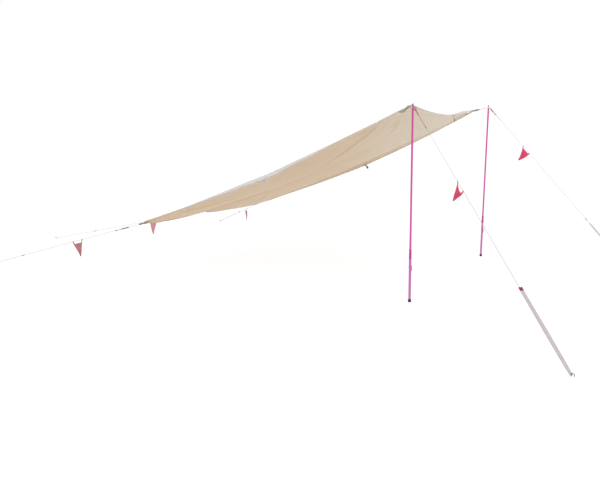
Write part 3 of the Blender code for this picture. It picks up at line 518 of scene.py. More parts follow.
def cord_finish(name, colour, tracer, pitch, top=None, fade=(0.10, 0.22)):
    """Braided cord with a tracer yarn and painted shade in the gaps between its strands; top is the colour of its
    first part, and fade where that ends.
    """
    finish = Finish(name, sheen_weight=0.2, sheen_roughness=0.4, specular_ior_level=0.35)
    place = finish.where("UV")
    run, turn, _ = finish.split(place)
    forward = finish.sum("ADD", finish.sum("DIVIDE", run, pitch), turn)
    backward = finish.sum("SUBTRACT", finish.sum("DIVIDE", run, pitch), turn)
    strands = []
    for direction in (forward, backward):
        wave = finish.sum("SINE", finish.times(direction, 8.0 * math.pi))
        strands.append(finish.rise(wave, -0.8, 0.8))
    braid = finish.sum("MAXIMUM", strands[0], strands[1])
    mark = finish.fall(finish.sum("FRACT", finish.sum("ADD", forward, 40.0)), 0.13, 0.17)
    soil = finish.cloud(finish.stretch(place, (8.0, 2.0, 1.0)), 1.0, 4.0, 0.6)
    # Painted shade: the gaps between the braid's strands are laid darker than its crests.
    base = finish.mix(finish.rise(braid, 0.2, 1.0), solid(colour, 0.78), solid(colour, 1.06))
    base = finish.tint(base, mark, 0.35, solid(tracer))
    base = finish.mix(finish.rise(soil, 0.45, 0.75, 0.0, 0.25), base, solid(colour, 0.7))
    if top is not None:
        base = finish.mix(finish.rise(run, *fade, 0.80, 0.0), base, solid(top))
    normal = finish.bump(braid, 0.0005, 0.8)
    roughness = finish.rise(soil, 0.3, 0.7, 0.62, 0.82)
    return finish.done(base, roughness, normal)


def painted_finish(name, colour):
    """Glossy paint on tube, with drawn lines along it, fine scuffs and dust towards the ground."""
    finish = Finish(name, metallic=0.1, coat_weight=0.10, coat_roughness=0.15, specular_ior_level=0.28)
    place = finish.where("Object")
    _, _, height = finish.split(place)
    drawn = finish.cloud(finish.stretch(place, (700.0, 700.0, 4.0)), 1.0, 3.0)
    scuffs = finish.cloud(finish.stretch(place, (90.0, 90.0, 26.0)), 1.4, 6.0, 0.7)
    base = finish.mix(finish.rise(drawn, 0.3, 0.7), solid(colour, 0.93), solid(colour, 1.05))
    base = finish.mix(finish.rise(scuffs, 0.66, 0.72, 0.0, 0.35), base, solid((0.72, 0.50, 0.62)))
    dust = finish.times(finish.fall(height, 0.02, 0.22), finish.rise(scuffs, 0.42, 0.62))
    base = finish.tint(base, dust, 0.35, solid((0.42, 0.35, 0.31)))
    roughness = finish.rise(scuffs, 0.45, 0.72, 0.24, 0.52)
    normal = finish.bump(drawn, 0.00008, 0.4)
    normal = finish.bump(scuffs, 0.00010, 0.3, normal)
    return finish.done(base, roughness, normal)


def moulded_finish(name, colour, worn):
    """Moulded plastic with a fine grain, rubbed paler in patches."""
    finish = Finish(name, specular_ior_level=0.45)
    place = finish.where("Object")
    grain = finish.add("ShaderNodeTexVoronoi", {"Vector": place, "Scale": 900.0}).outputs["Distance"]
    rubs = finish.cloud(place, 60.0, 5.0, 0.65)
    base = finish.mix(finish.rise(rubs, 0.35, 0.65), solid(colour, 0.88), solid(colour, 1.12))
    base = finish.mix(finish.rise(rubs, 0.60, 0.72, 0.0, 0.35), base, solid(worn))
    normal = finish.bump(grain, 0.00006, 0.5)
    roughness = finish.rise(rubs, 0.35, 0.7, 0.36, 0.58)
    return finish.done(base, roughness, normal)


def steel_finish(name, colour):
    """Galvanised steel with a spangle, scratches and a dull bloom."""
    finish = Finish(name, metallic=0.7, specular_ior_level=0.5)
    place = finish.where("Object")
    spangle = finish.add("ShaderNodeTexVoronoi", {"Vector": place, "Scale": 260.0}).outputs["Color"]
    tone = finish.add("ShaderNodeRGBToBW", {0: spangle}).outputs[0]
    bloom = finish.cloud(place, 45.0, 5.0, 0.65)
    scratches = finish.cloud(finish.stretch(place, (500.0, 60.0, 900.0)), 1.0, 4.0, 0.7)
    base = finish.mix(tone, solid(colour, 0.85), solid(colour, 1.18))
    base = finish.mix(finish.rise(bloom, 0.55, 0.75, 0.0, 0.5), base, solid((0.30, 0.27, 0.24)))
    roughness = finish.rise(finish.sum("ADD", bloom, finish.times(tone, 0.3)), 0.4, 0.9, 0.28, 0.58)
    normal = finish.bump(scratches, 0.00006, 0.5)
    return finish.done(base, roughness, normal)


def rubber_finish(name, colour):
    """Dull rubber with a fine pitted grain and dust."""
    finish = Finish(name, specular_ior_level=0.3)
    place = finish.where("Object")
    _, _, height = finish.split(place)
    pits = finish.cloud(place, 420.0, 3.0, 0.6)
    dust = finish.cloud(place, 70.0, 5.0, 0.7)
    base = finish.mix(finish.rise(dust, 0.45, 0.7, 0.0, 0.30), solid(colour), solid((0.20, 0.17, 0.15)))
    base = finish.mix(finish.rise(height, 0.0, 0.006, 0.35, 0.0), base, solid((0.24, 0.21, 0.18)))
    roughness = finish.rise(dust, 0.3, 0.7, 0.68, 0.9)
    return finish.done(base, roughness, finish.bump(pits, 0.0002, 0.5))


def nylon_finish(name, colour, fade, trim):
    """Thin woven nylon with a stronger thread every few millimetres, a sewn hem and sun fading."""
    finish = Finish(name, sheen_weight=0.25, sheen_roughness=0.35, specular_ior_level=0.35)
    place = finish.where("UV")
    _, edge, _ = finish.split(place)
    flat = finish.where("Object")
    patches = finish.cloud(flat, 22.0, 4.0, 0.6)
    threads = finish.sum("MAXIMUM", finish.bands(place, 0.0042, "X"), finish.bands(place, 0.0042, "Y"))
    base = finish.mix(finish.rise(patches, 0.35, 0.68), solid(colour, 0.85), solid(colour, 1.12))
    base = finish.mix(finish.rise(patches, 0.52, 0.74, 0.0, 0.45), base, solid(fade))
    base = finish.mix(finish.rise(threads, 0.90, 0.99, 0.0, 0.22), base, solid(colour, 0.72))
    hem = finish.fall(edge, 0.0055, 0.0065)
    base = finish.tint(base, hem, 0.75, solid(trim))
    row = finish.line(edge, 0.0048, 0.0003, 0.0007)
    base = finish.tint(base, row, 0.4, solid(fade))
    normal = finish.bump(finish.sum("SUBTRACT", hem, finish.times(row, 0.7)), 0.0006, 0.8)
    normal = finish.bump(threads, 0.00015, 0.6, normal)
    normal = finish.bump(patches, 0.004, 0.5, normal)
    roughness = finish.rise(patches, 0.3, 0.7, 0.55, 0.78)
    return finish.done(base, roughness, normal)


def floor_finish(name, colour, glow):
    """A plain pale floor, lit from within as a light table is, with the faintest mottling."""
    white = (1.0, 1.0, 1.0, 1.0)
    finish = Finish(name, specular_ior_level=0.1, emission_color=white, emission_strength=glow)
    place = finish.where("Object")
    mottling = finish.cloud(place, 0.7, 3.0, 0.5)
    base = finish.mix(mottling, solid(colour, 0.995), solid(colour, 1.005))
    return finish.done(base, finish.rise(mottling, 0.3, 0.7, 0.92, 0.97))


def settle(shape, name, material, body, stands_for=(), place=None, sharp=35.0):
    """Makes a piece of the shape, with its place in its mesh, and ties it to the frame."""
    if place is not None:
        bmesh.ops.transform(shape, matrix=place, verts=shape.verts)
    mesh = bpy.data.meshes.new(name)
    shape.to_mesh(mesh)
    shape.free()
    for finish in material if isinstance(material, (list, tuple)) else [material]:
        mesh.materials.append(finish)
    for polygon in mesh.polygons:
        polygon.use_smooth = True
    mesh.set_sharp_from_angle(angle=math.radians(sharp))
    piece = bpy.data.objects.new(name, mesh)
    bpy.context.scene.collection.objects.link(piece)
    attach(piece, body)
    if stands_for:
        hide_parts(*stands_for)
    return piece


def thicken(piece, thickness, hem_group=None, second_finish=False):
    """Gives a sheet its thickness, with a rim, and its underside the piece's second finish."""
    wall = piece.modifiers.new("thickness", "SOLIDIFY")
    wall.thickness = thickness
    wall.offset = 0.0
    wall.use_rim = True
    if second_finish:
        wall.material_offset = 1
    if hem_group is not None:
        wall.vertex_group = hem_group
        wall.thickness_vertex_group = 0.5


def soften(piece, width, segments=2):
    """Rounds a hard piece's edges."""
    edge = piece.modifiers.new("soft edges", "BEVEL")
    edge.width = width
    edge.segments = segments
    edge.limit_method = "ANGLE"
    edge.angle_limit = math.radians(40.0)
    edge.harden_normals = False


def frame_along(origin, target):
    """A frame with X from origin to target, Y level and Z as near upright as it can be."""
    along = (target - origin).normalized()
    level = UP.cross(along).normalized()
    rise = along.cross(level)
    turn = Matrix((along, level, rise)).transposed()
    return Matrix.Translation(origin) @ turn.to_4x4()


def shifted(place, offset):
    return place @ Matrix.Translation(offset)


def arc(centre, radius_x, radius_y, start, end, steps):
    """Points of an elliptical arc in a plane, from one angle in degrees to another."""
    points = []
    for step in range(steps + 1):
        angle = math.radians(start + (end - start) * step / steps)
        points.append((centre[0] + radius_x * math.cos(angle), centre[1] + radius_y * math.sin(angle)))
    return points


def lay_uv(shape, layer, spot):
    """Gives each corner of each face its UV place, which spot works out from its vertex."""
    for face in shape.faces:
        for loop in face.loops:
            loop[layer].uv = spot(loop.vert)


def slice_shape(shape, point, normal, nearness=0.0):
    """Cuts every face of a shape along a plane and keeps both sides."""
    everything = shape.verts[:] + shape.edges[:] + shape.faces[:]
    bmesh.ops.bisect_plane(shape, geom=everything, plane_co=point, plane_no=normal, dist=nearness)


def slice_layers(shape, height, layers):
    """Cuts a shape that is centred on its origin into even layers over its height."""
    for cut in range(1, layers):
        slice_shape(shape, (0.0, 0.0, height * (cut / layers - 0.5)), UP)


def raise_faces(shape, height):
    """Makes a block of flat faces, half of it above their plane and half below."""
    raised = bmesh.ops.extrude_face_region(shape, geom=shape.faces[:])
    top = [item for item in raised["geom"] if isinstance(item, bmesh.types.BMVert)]
    bmesh.ops.translate(shape, verts=top, vec=(0.0, 0.0, height))
    bmesh.ops.translate(shape, verts=shape.verts, vec=(0.0, 0.0, -height / 2))


def eased(place, start, end):
    """0 before start and 1 after end, with a smooth rise between them."""
    part = max(0.0, min(1.0, (place - start) / (end - start)))
    return part * part * (3.0 - 2.0 * part)


def held(place, lead, trail):
    """0 at an edge's two corners, rising quickly to 1 over a lead and a trail along it."""
    return math.sqrt(max(0.0, min(1.0, place / lead, (1.0 - place) / trail)))


def rounded(value, softness):
    """The value where it is positive and else 0, with the corner between the two rounded."""
    if value >= softness:
        return value
    if value <= -softness:
        return 0.0
    return (value + softness) ** 2 / (4.0 * softness)


def rear_scallop(across):
    """How far the rear edge hangs between its two corners and the middle guy line."""
    swing = math.sin(2.0 * math.pi * across)
    if across < 0.5:
        return NEAR_REAR_SAG * swing
    return FAR_REAR_SAG * math.sqrt(max(0.0, -swing))


def roof_point(across, back, softness=0.0):
    """The part's own middle of the fabric; softness rounds the fold along each slack margin."""
    front = CORNERS["near_front"].lerp(CORNERS["far_front"], across)
    rear = CORNERS["near_rear"].lerp(CORNERS["far_rear"], across)
    point = front.lerp(rear, back)
    bow_across = 4.0 * across * (1.0 - across)
    bow_back = 4.0 * back * (1.0 - back)
    fold = across * SPAN / MARGIN
    near = rounded(1.0 - fold, softness)
    far = rounded(1.0 - (1.0 - across) * SPAN / MARGIN, softness)
    fore = rounded(1.0 - back * RUN / MARGIN, softness)
    near_held = held(back, NEAR_LEAD, NEAR_TRAIL)
    rear_slack = eased(1.0 - back, *NEAR_DROOP_TRAIL) * (1.0 - NEAR_DROOP_AT_REAR)
    near_slack = near_held * eased(back, *NEAR_DROOP_LEAD) * (NEAR_DROOP_AT_REAR + rear_slack)
    front_held = held(across, FRONT_LEAD, FRONT_LEAD)

    sag = FRONT_SAG * (1.0 - back) * bow_across + rear_scallop(across) * back
    sag += (NEAR_SAG * (1.0 - across) + FAR_SAG * across) * bow_back
    sag += MIDDLE_SAG * bow_across * bow_back
    lift = NEAR_LIFT * (1.0 - across) ** 2 * near_held
    lift += FRONT_LIFT * (1.0 - bow_across) * front_held * (1.0 - back) ** FRONT_FADE
    if back > 0.5:
        ridge = min(fold, max(0.0, (3.0 - fold) / 2.0))
        lift += NEAR_LIFT * ridge * (1.0 - near_held)
    droop = NEAR_DROOP * near * near_slack + FAR_DROOP * far * bow_back
    droop += FRONT_DROOP * fore * bow_across
    point.z += lift - sag - droop
    pull = REAR_PULL * max(0.0, 1.0 - abs(across - 0.5) * 2.0) * back ** 4
    point.y += pull - FRONT_BULGE * fore * bow_across
    return point


def between(table, place):
    """The smooth value at a place between the rows of a table of (place, value)."""
    last = len(table) - 1
    index = max(0, min(last - 1, sum(1 for row in table if row[0] <= place) - 1))
    (start, low), (end, high) = table[index], table[index + 1]
    before, after = table[max(0, index - 1)], table[min(last, index + 2)]
    span = end - start
    part = max(0.0, min(1.0, (place - start) / span))
    slope_in = (high - before[1]) / (end - before[0]) * span
    slope_out = (after[1] - low) / (after[0] - start) * span
    rest = 1.0 - part
    return (
        low * rest * rest * (1.0 + 2.0 * part) + slope_in * part * rest * rest
        + high * part * part * (3.0 - 2.0 * part) - slope_out * part * part * rest
    )


def edge_rise(across, back):
    """How far the finished cloth stands above the solid sheet: its slack edges and the turned corner."""
    over, down = across * SPAN / MARGIN, back * RUN / MARGIN
    from_far, from_rear = SPAN / MARGIN - over, RUN / MARGIN - down
    rise = between(NEAR_RIDGE_RISE, back) * (1.0 - eased(over, 1.0, 4.0))
    rise += between(REAR_EDGE_RISE, across) * (1.0 - eased(from_rear, 0.0, 2.0))
    rise += between(FAR_EDGE_RISE, back) * (1.0 - eased(from_far, 0.0, 2.0))
    if over < 1.2:
        hang = between(NEAR_EDGE_RISE, back) * rounded(1.0 - over, 0.15)
        if back > 0.5:
            turn = max(-1.0, min(1.0, (from_rear - over) / CORNER_TURN))
            hang *= turn * (1.5 - 0.5 * turn * turn)
        rise += hang
    if down < 3.0:
        rise += between(FRONT_EDGE_RISE, across) * rounded(1.0 - down, 0.15)
        rise += between(FRONT_FOLD_RISE, across) * min(down, max(0.0, (3.0 - down) / 2.0))
    return rise


def corner_place(corner):
    """Where a corner is on the sheet, across and back, each 0 or 1."""
    return float(corner.startswith("far")), float(corner.endswith("rear"))


def corner_cell(corner):
    """The part's corner cell: the tip and its neighbours across, back and inwards."""
    across, back = corner_place(corner)
    inner_across = abs(across - MARGIN / SPAN)
    inner_back = abs(back - MARGIN / RUN)
    return (
        roof_point(across, back), roof_point(inner_across, back),
        roof_point(across, inner_back), roof_point(inner_across, inner_back),
    )


CORNER_CELLS = {corner: corner_cell(corner) for corner in CORNERS}


def corner_point(corner):
    """The middle of the short edge where a corner is trimmed square for its strap."""
    tip, beside, along, _ = CORNER_CELLS[corner]
    return tip + (beside + along - tip * 2.0) * (CORNER_CUT / math.sqrt(2.0) / MARGIN)


def smooth_roof(across, back):
    """The middle of the fabric, flat in each corner cell as the part is and rounded elsewhere."""
    point = roof_point(across, back, 0.15)
    rise = UP * edge_rise(across, back)
    side = "far" if across > 0.5 else "near"
    end = "rear" if back > 0.5 else "front"
    over = min(across, 1.0 - across) * SPAN / MARGIN
    down = min(back, 1.0 - back) * RUN / MARGIN
    reach = max(over, down)
    if reach >= 1.0:
        return point + rise
    tip, beside, along, inner = CORNER_CELLS[f"{side}_{end}"]
    flat = tip.lerp(beside, over).lerp(along.lerp(inner, over), down)
    return flat.lerp(point, eased(reach, 0.25, 1.0)) + rise


def fold_share(across, back, points, width):
    """How strongly one tension fold shows at a place on the sheet, from 0 to 1."""
    best = 0.0
    spot = Vector((across, back))
    last = len(points) - 1
    for index in range(last):
        start, end = Vector(points[index]), Vector(points[index + 1])
        along = end - start
        part = max(0.0, min(1.0, (spot - start).dot(along) / along.length_squared))
        distance = (spot - start - along * part).length
        progress = (index + part) / last
        strength = min(1.0, 5.0 * progress, 2.5 * (1.0 - progress))
        best = max(best, strength * math.exp(-(distance / width) ** 2))
    return best


def corner_ripples(across, back):
    """Small folds that fan out from the four corners and from the middle of the rear edge."""
    height = 0.0
    fans = (
        (0.0, 0.0, 11.0, 0.0050, 1.10, 1.0), (CUT_WIDTH, 0.0, 10.0, 0.0045, 0.80, 4.0),
        (CUT_WIDTH, CUT_LENGTH, 10.0, 0.0045, 0.75, 7.0), (0.0, CUT_LENGTH, 10.0, 0.0050, 0.80, 9.0),
        (CUT_WIDTH / 2, CUT_LENGTH, 9.0, 0.0040, 0.60, 12.0),
    )
    for start_across, start_back, count, size, reach, seed in fans:
        over, down = across - start_across, back - start_back
        distance = math.hypot(over, down)
        if distance > reach * 2.4 or distance < 0.001:
            continue
        heading = math.atan2(abs(down), over if start_across == CUT_WIDTH / 2 else abs(over))
        heading += 0.16 * noise.noise(Vector((distance * 1.6, heading * 1.5, seed)))
        fade = (1.0 - math.exp(-(distance / 0.16) ** 2)) * math.exp(-(distance / reach) ** 2)
        height += size * math.sin(heading * count + seed) * fade
    return height


def cloth_relief(across, back):
    """Height of the sheet's ripples over its smooth form, and how strongly painted shade is laid along a fold there.
    """
    edge = min(across, CUT_WIDTH - across, back, CUT_LENGTH - back)
    relief = corner_ripples(across, back)
    fold_shade = 0.0
    for points, height, width in FOLDS:
        share = fold_share(across, back, points, width)
        relief -= height * share
        fold_shade = max(fold_shade, share * height / 0.016)
    inner = 1.0 - math.exp(-(max(0.0, edge) / 0.35) ** 2)
    relief += 0.012 * inner * noise.noise(Vector((across * 1.1, back * 0.8, 3.0)))
    relief += 0.004 * inner * noise.noise(Vector((across * 3.4, back * 2.2, 8.0)))
    near_edge = math.exp(-max(0.0, edge) / 0.05)
    relief *= 1.0 - 0.85 * math.exp(-(max(0.0, edge) / 0.20) ** 2)
    relief += 0.0012 * near_edge * noise.noise(Vector((across * 7.0, back * 7.0, 5.0)))
    return relief, fold_shade


def cloth_place(across, back, fold_height=1.0):
    """A place on the finished sheet, its normal there and how strongly painted shade is laid along a fold there."""
    step = 0.004
    part_across, part_back = across / CUT_WIDTH, back / CUT_LENGTH
    point = smooth_roof(part_across, part_back)
    sign_across = 1.0 if part_across < 0.5 else -1.0
    sign_back = 1.0 if part_back < 0.5 else -1.0
    over = (smooth_roof(part_across + step * sign_across, part_back) - point) * sign_across
    down = (smooth_roof(part_across, part_back + step * sign_back) - point) * sign_back
    normal = over.cross(down).normalized()
    relief, fold_shade = cloth_relief(across, back)
    corner_reach = math.hypot(min(across, CUT_WIDTH - across), min(back, CUT_LENGTH - back))
    relief *= fold_height * eased(corner_reach, 0.03, 0.16)
    return point + normal * relief, normal, fold_shade


def spaced(index, cells, size, margin):
    """Grid line positions in metres, close together in both margins and even between them."""
    lead = SHEET_CELLS["margin"]
    if index <= lead:
        return margin * index / lead
    if index >= cells - lead:
        return size - margin * (cells - index) / lead
    return margin + (size - 2.0 * margin) * (index - lead) / (cells - 2 * lead)


def strap_pull(corner):
    """The way that a corner's strap pulls, along which its tip is trimmed square."""
    if corner.endswith("rear"):
        place, _ = stay_frame(corner)
        return place.to_3x3() @ Vector((1.0, 0.0, 0.0))
    return (pole_point(corner.split("_")[0], LINK_SEAT) - corner_point(corner)).normalized()


def sheet_shape(settings):
    """The canvas as one fine grid, with its folds, the strength of the painted shade along them, its hems' weights and
    its flat size as UV.
    """
    shape = bmesh.new()
    columns = SHEET_CELLS["across"] + 2 * SHEET_CELLS["margin"]
    rows = SHEET_CELLS["back"] + 2 * SHEET_CELLS["margin"]
    bmesh.ops.create_grid(shape, x_segments=columns, y_segments=rows, size=0.5)
    cut = shape.loops.layers.uv.new("cut")
    # The fold layer holds how strongly painted shade is laid along the folds.
    fold = shape.verts.layers.float.new("fold")
    weights = shape.verts.layers.deform.verify()
    flat = {}
    for vert in shape.verts:
        column = round((vert.co.x + 0.5) * columns)
        row = round((vert.co.y + 0.5) * rows)
        across = spaced(column, columns, CUT_WIDTH, MARGIN * CUT_WIDTH / SPAN)
        back = spaced(row, rows, CUT_LENGTH, MARGIN * CUT_LENGTH / RUN)
        vert.co, _, vert[fold] = cloth_place(across, back, settings.fold_height)
        edge = min(across, CUT_WIDTH - across, back, CUT_LENGTH - back)
        vert[weights][0] = 1.0 if edge < settings.hem_width else 0.0
        flat[vert.index] = (across, back)
    lay_uv(shape, cut, lambda vert: flat[vert.index])
    for corner in CORNERS:
        near = [vert for vert in shape.verts if (vert.co - CORNERS[corner]).length < 0.30]
        faces = {face for vert in near for face in vert.link_faces}
        edges = {edge for face in faces for edge in face.edges}
        around = {vert for face in faces for vert in face.verts}
        bmesh.ops.bisect_plane(
            shape, geom=list(around) + list(edges) + list(faces), plane_co=corner_point(corner),
            plane_no=strap_pull(corner), clear_outer=True,
        )
    return shape


def make_canopy(settings):
    """The canvas sheet, stretched from its corners and hanging slack along its edges."""
    # The underside's finish is a shaded copy of the outer one: its colours carry painted shade and painted light.
    finishes = [
        canvas_finish("canvas from above", settings.outer_colour, (0.635, 0.62, 0.595), settings.hem_width, False),
        canvas_finish("shaded canvas from below", settings.shaded_under_colour, settings.front_lit_under_colour, settings.hem_width, True),
    ]
    sheet = settle(sheet_shape(settings), "canvas_sheet", finishes, "tarp", ["canopy"], sharp=180.0)
    sheet.vertex_groups.new(name="hem")
    thicken(sheet, settings.thickness * 2.0, hem_group="hem", second_finish=True)


def ribbon_shape(route, sides, widths):
    """A ribbon along a route, with the way across it and its width at each point."""
    shape = bmesh.new()
    count = len(route) - 1
    bmesh.ops.create_grid(shape, x_segments=count, y_segments=4, size=0.5)
    weave = shape.loops.layers.uv.new("weave")
    runs = [0.0]
    for first, second in zip(route, route[1:]):
        runs.append(runs[-1] + (second - first).length)
    flat = {}
    for vert in shape.verts:
        step = round((vert.co.x + 0.5) * count)
        share = vert.co.y
        flat[vert.index] = (runs[step], (0.5 - abs(share)) * widths[step])
        vert.co = route[step] + sides[step] * (share * widths[step])
    lay_uv(shape, weave, lambda vert: flat[vert.index])
    return shape


def strap_shape(start, end, width, rounds, eyes, thickness, cuts=()):
    """A flat strap along X: rounds says which ends are round, and eyes are its holes."""
    shape = bmesh.new()
    half = width / 2
    ends = []
    for place, sign, is_round in ((start, -1.0, rounds[0]), (end, 1.0, rounds[1])):
        centre = place - sign * half if is_round else place
        first = shape.verts.new((centre, -sign * half, 0.0))
        if is_round:
            turned = bmesh.ops.spin(
                shape, geom=[first], cent=(centre, 0.0, 0.0), axis=(0.0, 0.0, 1.0), angle=math.pi, steps=14,
            )
            last = [item for item in turned["geom_last"] if isinstance(item, bmesh.types.BMVert)][0]
        else:
            last = shape.verts.new((centre, sign * half, 0.0))
            shape.edges.new((first, last))
        ends.append((first, last))
    shape.edges.new((ends[0][1], ends[1][0]))
    shape.edges.new((ends[1][1], ends[0][0]))
    for centre, along, across in eyes:
        stretch = Matrix.Translation((centre, 0.0, 0.0)) @ Matrix.Diagonal((along, across, 1.0, 1.0))
        bmesh.ops.create_circle(shape, cap_ends=False, segments=20, radius=1.0, matrix=stretch)
    bmesh.ops.triangle_fill(shape, use_beauty=True, edges=shape.edges[:], normal=(0.0, 0.0, 1.0))
    slice_shape(shape, (0.0, 0.0, 0.0), (0.0, 1.0, 0.0), SAME_PLACE)
    for cut in cuts:
        slice_shape(shape, (cut, 0.0, 0.0), (1.0, 0.0, 0.0), SAME_PLACE)
    raise_faces(shape, thickness)
    bmesh.ops.recalc_face_normals(shape, faces=shape.faces)
    weave = shape.loops.layers.uv.new("weave")
    lay_uv(shape, weave, lambda vert: (vert.co.x, half - abs(vert.co.y)))
    return shape


def turned_shape(profile, steps, closed):
    """A shape turned about Z from a profile of (radius, height) points."""
    shape = bmesh.new()
    points = [shape.verts.new((radius, 0.0, height)) for radius, height in profile]
    edges = [shape.edges.new(pair) for pair in zip(points, points[1:])]
    if closed:
        edges.append(shape.edges.new((points[-1], points[0])))
    bmesh.ops.spin(
        shape, geom=points + edges, cent=(0.0, 0.0, 0.0), axis=(0.0, 0.0, 1.0),
        angle=2.0 * math.pi, steps=steps, use_merge=True,
    )
    bmesh.ops.remove_doubles(shape, verts=shape.verts, dist=SAME_PLACE)
    bmesh.ops.recalc_face_normals(shape, faces=shape.faces)
    return shape


def route_frames(points, closed):
    """A frame at each point of a route, Z along it, turned as little as possible on the way."""
    count = len(points)
    frames = []
    normal = None
    for index, point in enumerate(points):
        before = points[index - 1] if index or closed else point
        after = points[(index + 1) % count] if index + 1 < count or closed else point
        along = (after - before).normalized()
        if normal is None:
            normal = along.orthogonal().normalized()
        normal = (normal - along * normal.dot(along)).normalized()
        side = along.cross(normal)
        turn = Matrix((normal, side, along)).transposed()
        frames.append(Matrix.Translation(point) @ turn.to_4x4())
    return frames


def swept_shape(points, radius, sides=10, closed=False, widths=None):
    """A round cord along a route; widths scales it at each point."""
    points = [Vector(point) for point in points]
    frames = route_frames(points, closed)
    widths = widths or [1.0] * len(points)
    shape = bmesh.new()
    turn = shape.verts.layers.float.new("turn")
    run = shape.verts.layers.float.new("run")
    bmesh.ops.create_circle(
        shape, cap_ends=False, segments=sides, radius=radius * widths[0], matrix=frames[0],
    )
    for index, vert in enumerate(shape.verts):
        vert[turn] = index / sides
    first_ring = shape.edges[:]
    ring = first_ring
    length = 0.0
    for index in range(1, len(points)):
        grown = bmesh.ops.extrude_edge_only(shape, edges=ring)["geom"]
        verts = [item for item in grown if isinstance(item, bmesh.types.BMVert)]
        inside = set(verts)
        ring = [
            item for item in grown
            if isinstance(item, bmesh.types.BMEdge) and item.verts[0] in inside and item.verts[1] in inside
        ]
        growth = Matrix.Scale(widths[index] / widths[index - 1], 4)
        move = frames[index] @ growth @ frames[index - 1].inverted()
        bmesh.ops.transform(shape, matrix=move, verts=verts)
        length += (points[index] - points[index - 1]).length
        for vert in verts:
            vert[run] = length
    total = length
    if closed:
        total += (points[0] - points[-1]).length
        bmesh.ops.bridge_loops(shape, edges=first_ring + ring)
    else:
        bmesh.ops.edgeloop_fill(shape, edges=first_ring)
        bmesh.ops.edgeloop_fill(shape, edges=ring)
    bmesh.ops.recalc_face_normals(shape, faces=shape.faces)
    weave = shape.loops.layers.uv.new("weave")
    for face in shape.faces:
        turns = [loop.vert[turn] for loop in face.loops]
        runs = [loop.vert[run] for loop in face.loops]
        wraps = max(turns) - min(turns) > 0.5 and len(turns) == 4
        closes = closed and max(runs) - min(runs) > total / 2
        for loop, turned, far in zip(face.loops, turns, runs):
            turned += 1.0 if wraps and turned < 0.5 else 0.0
            far += total if closes and far < total / 2 else 0.0
            loop[weave].uv = (far, turned)
    return shape


def bend(start, start_way, end, end_way, steps):
    """Points of a smooth bend between two places, leaving and arriving along two ways."""
    points = []
    for step in range(1, steps):
        part = step / steps
        rest = 1.0 - part
        points.append(
            start * (rest * rest * (1.0 + 2.0 * part)) + start_way * (part * rest * rest)
            + end * (part * part * (3.0 - 2.0 * part)) - end_way * (part * part * rest)
        )
    return points


def pole_point(side, height):
    foot, lean = POLES[side]
    return foot + lean * (height / POLE_HEIGHT) + UP * height


def pole_frame(side):
    foot, lean = POLES[side]
    axis = (lean + UP * POLE_HEIGHT).normalized()
    return Matrix.Translation(foot) @ UP.rotation_difference(axis).to_matrix().to_4x4()


def peg_bend():
    return PEG_RADIUS + CORD_RADIUS + GAP * 1.5


def stay_frame(stay):
    """The frame of a guy line, with the cord on its X axis, and its reach to the peg."""
    if stay.endswith("front"):
        anchor = pole_point(stay.split("_")[0], GUY_SEAT)
    elif stay == "middle_rear":
        anchor = roof_point(0.5, 1.0)
    else:
        anchor = corner_point(stay)
    target = PEGS[stay] + UP * CORD_HEIGHT_AT_PEG
    aim = frame_along(anchor, target).to_3x3()
    origin = anchor + aim @ Vector((0.0, 0.0, TAIL_SPACING / 2))
    end = target - aim @ Vector((0.0, peg_bend(), 0.0))
    return frame_along(origin, end), (end - origin).length


def slope_of(place):
    return math.asin(min(1.0, abs((place.to_3x3() @ Vector((1.0, 0.0, 0.0))).z)))


def slanted_eye(radius, slope):
    """Radii of the eye in a slanted strap that clears an upright round rod."""
    along = radius / math.cos(slope) + STRAP_THICKNESS / 2 * math.tan(slope) + RUNNING_GAP
    return along, radius + RUNNING_GAP


def stay_start(stay):
    """Where along its frame a guy line's strap starts, its first eye, and the cord's own eye."""
    hole = LINK_RADIUS + RUNNING_GAP
    if stay.endswith("front"):
        place, _ = stay_frame(stay)
        return 0.0, slanted_eye(SPIKE_RADIUS, slope_of(place)), GUY_STRAP_LENGTH
    if stay == "middle_rear":
        return CORNER_STRAP_LENGTH, None, CORNER_STRAP_LENGTH
    start = CORNER_STRAP_LENGTH + LINK_LENGTH
    return start, (hole, hole), start + GUY_STRAP_LENGTH


def eyelet_shape(radius_along, radius_across):
    """A pressed eyelet: a rolled metal rim on both faces of a strap, round its hole."""
    wall = 0.0009
    lip = 0.0024
    half = STRAP_THICKNESS / 2
    rise = half + 0.0006
    profile = [
        (1.0 - 0.0002 / radius_across, -rise), (1.0 - 0.0002 / radius_across, rise),
        (1.0 + wall / radius_across, rise + 0.0004), (1.0 + lip / radius_across, half),
        (1.0 + lip / radius_across, -half), (1.0 + wall / radius_across, -rise - 0.0004),
    ]
    shape = turned_shape(profile, 24, True)
    stretch = Matrix.Diagonal((radius_along, radius_across, 1.0, 1.0))
    bmesh.ops.transform(shape, matrix=stretch, verts=shape.verts)
    return shape


def add_eyelets(name, eyes, finish, place, turns=(0.0,)):
    """An eyelet in each hole of a strap, turned with it."""
    for index, (centre, along, across) in enumerate(eyes):
        shape = eyelet_shape(along, across)
        spot = shifted(place, (centre, 0.0, 0.0)) @ Matrix.Rotation(turns[index], 4, "X")
        settle(shape, f"{name}_eyelet_{index + 1}", finish, "tarp", place=spot)


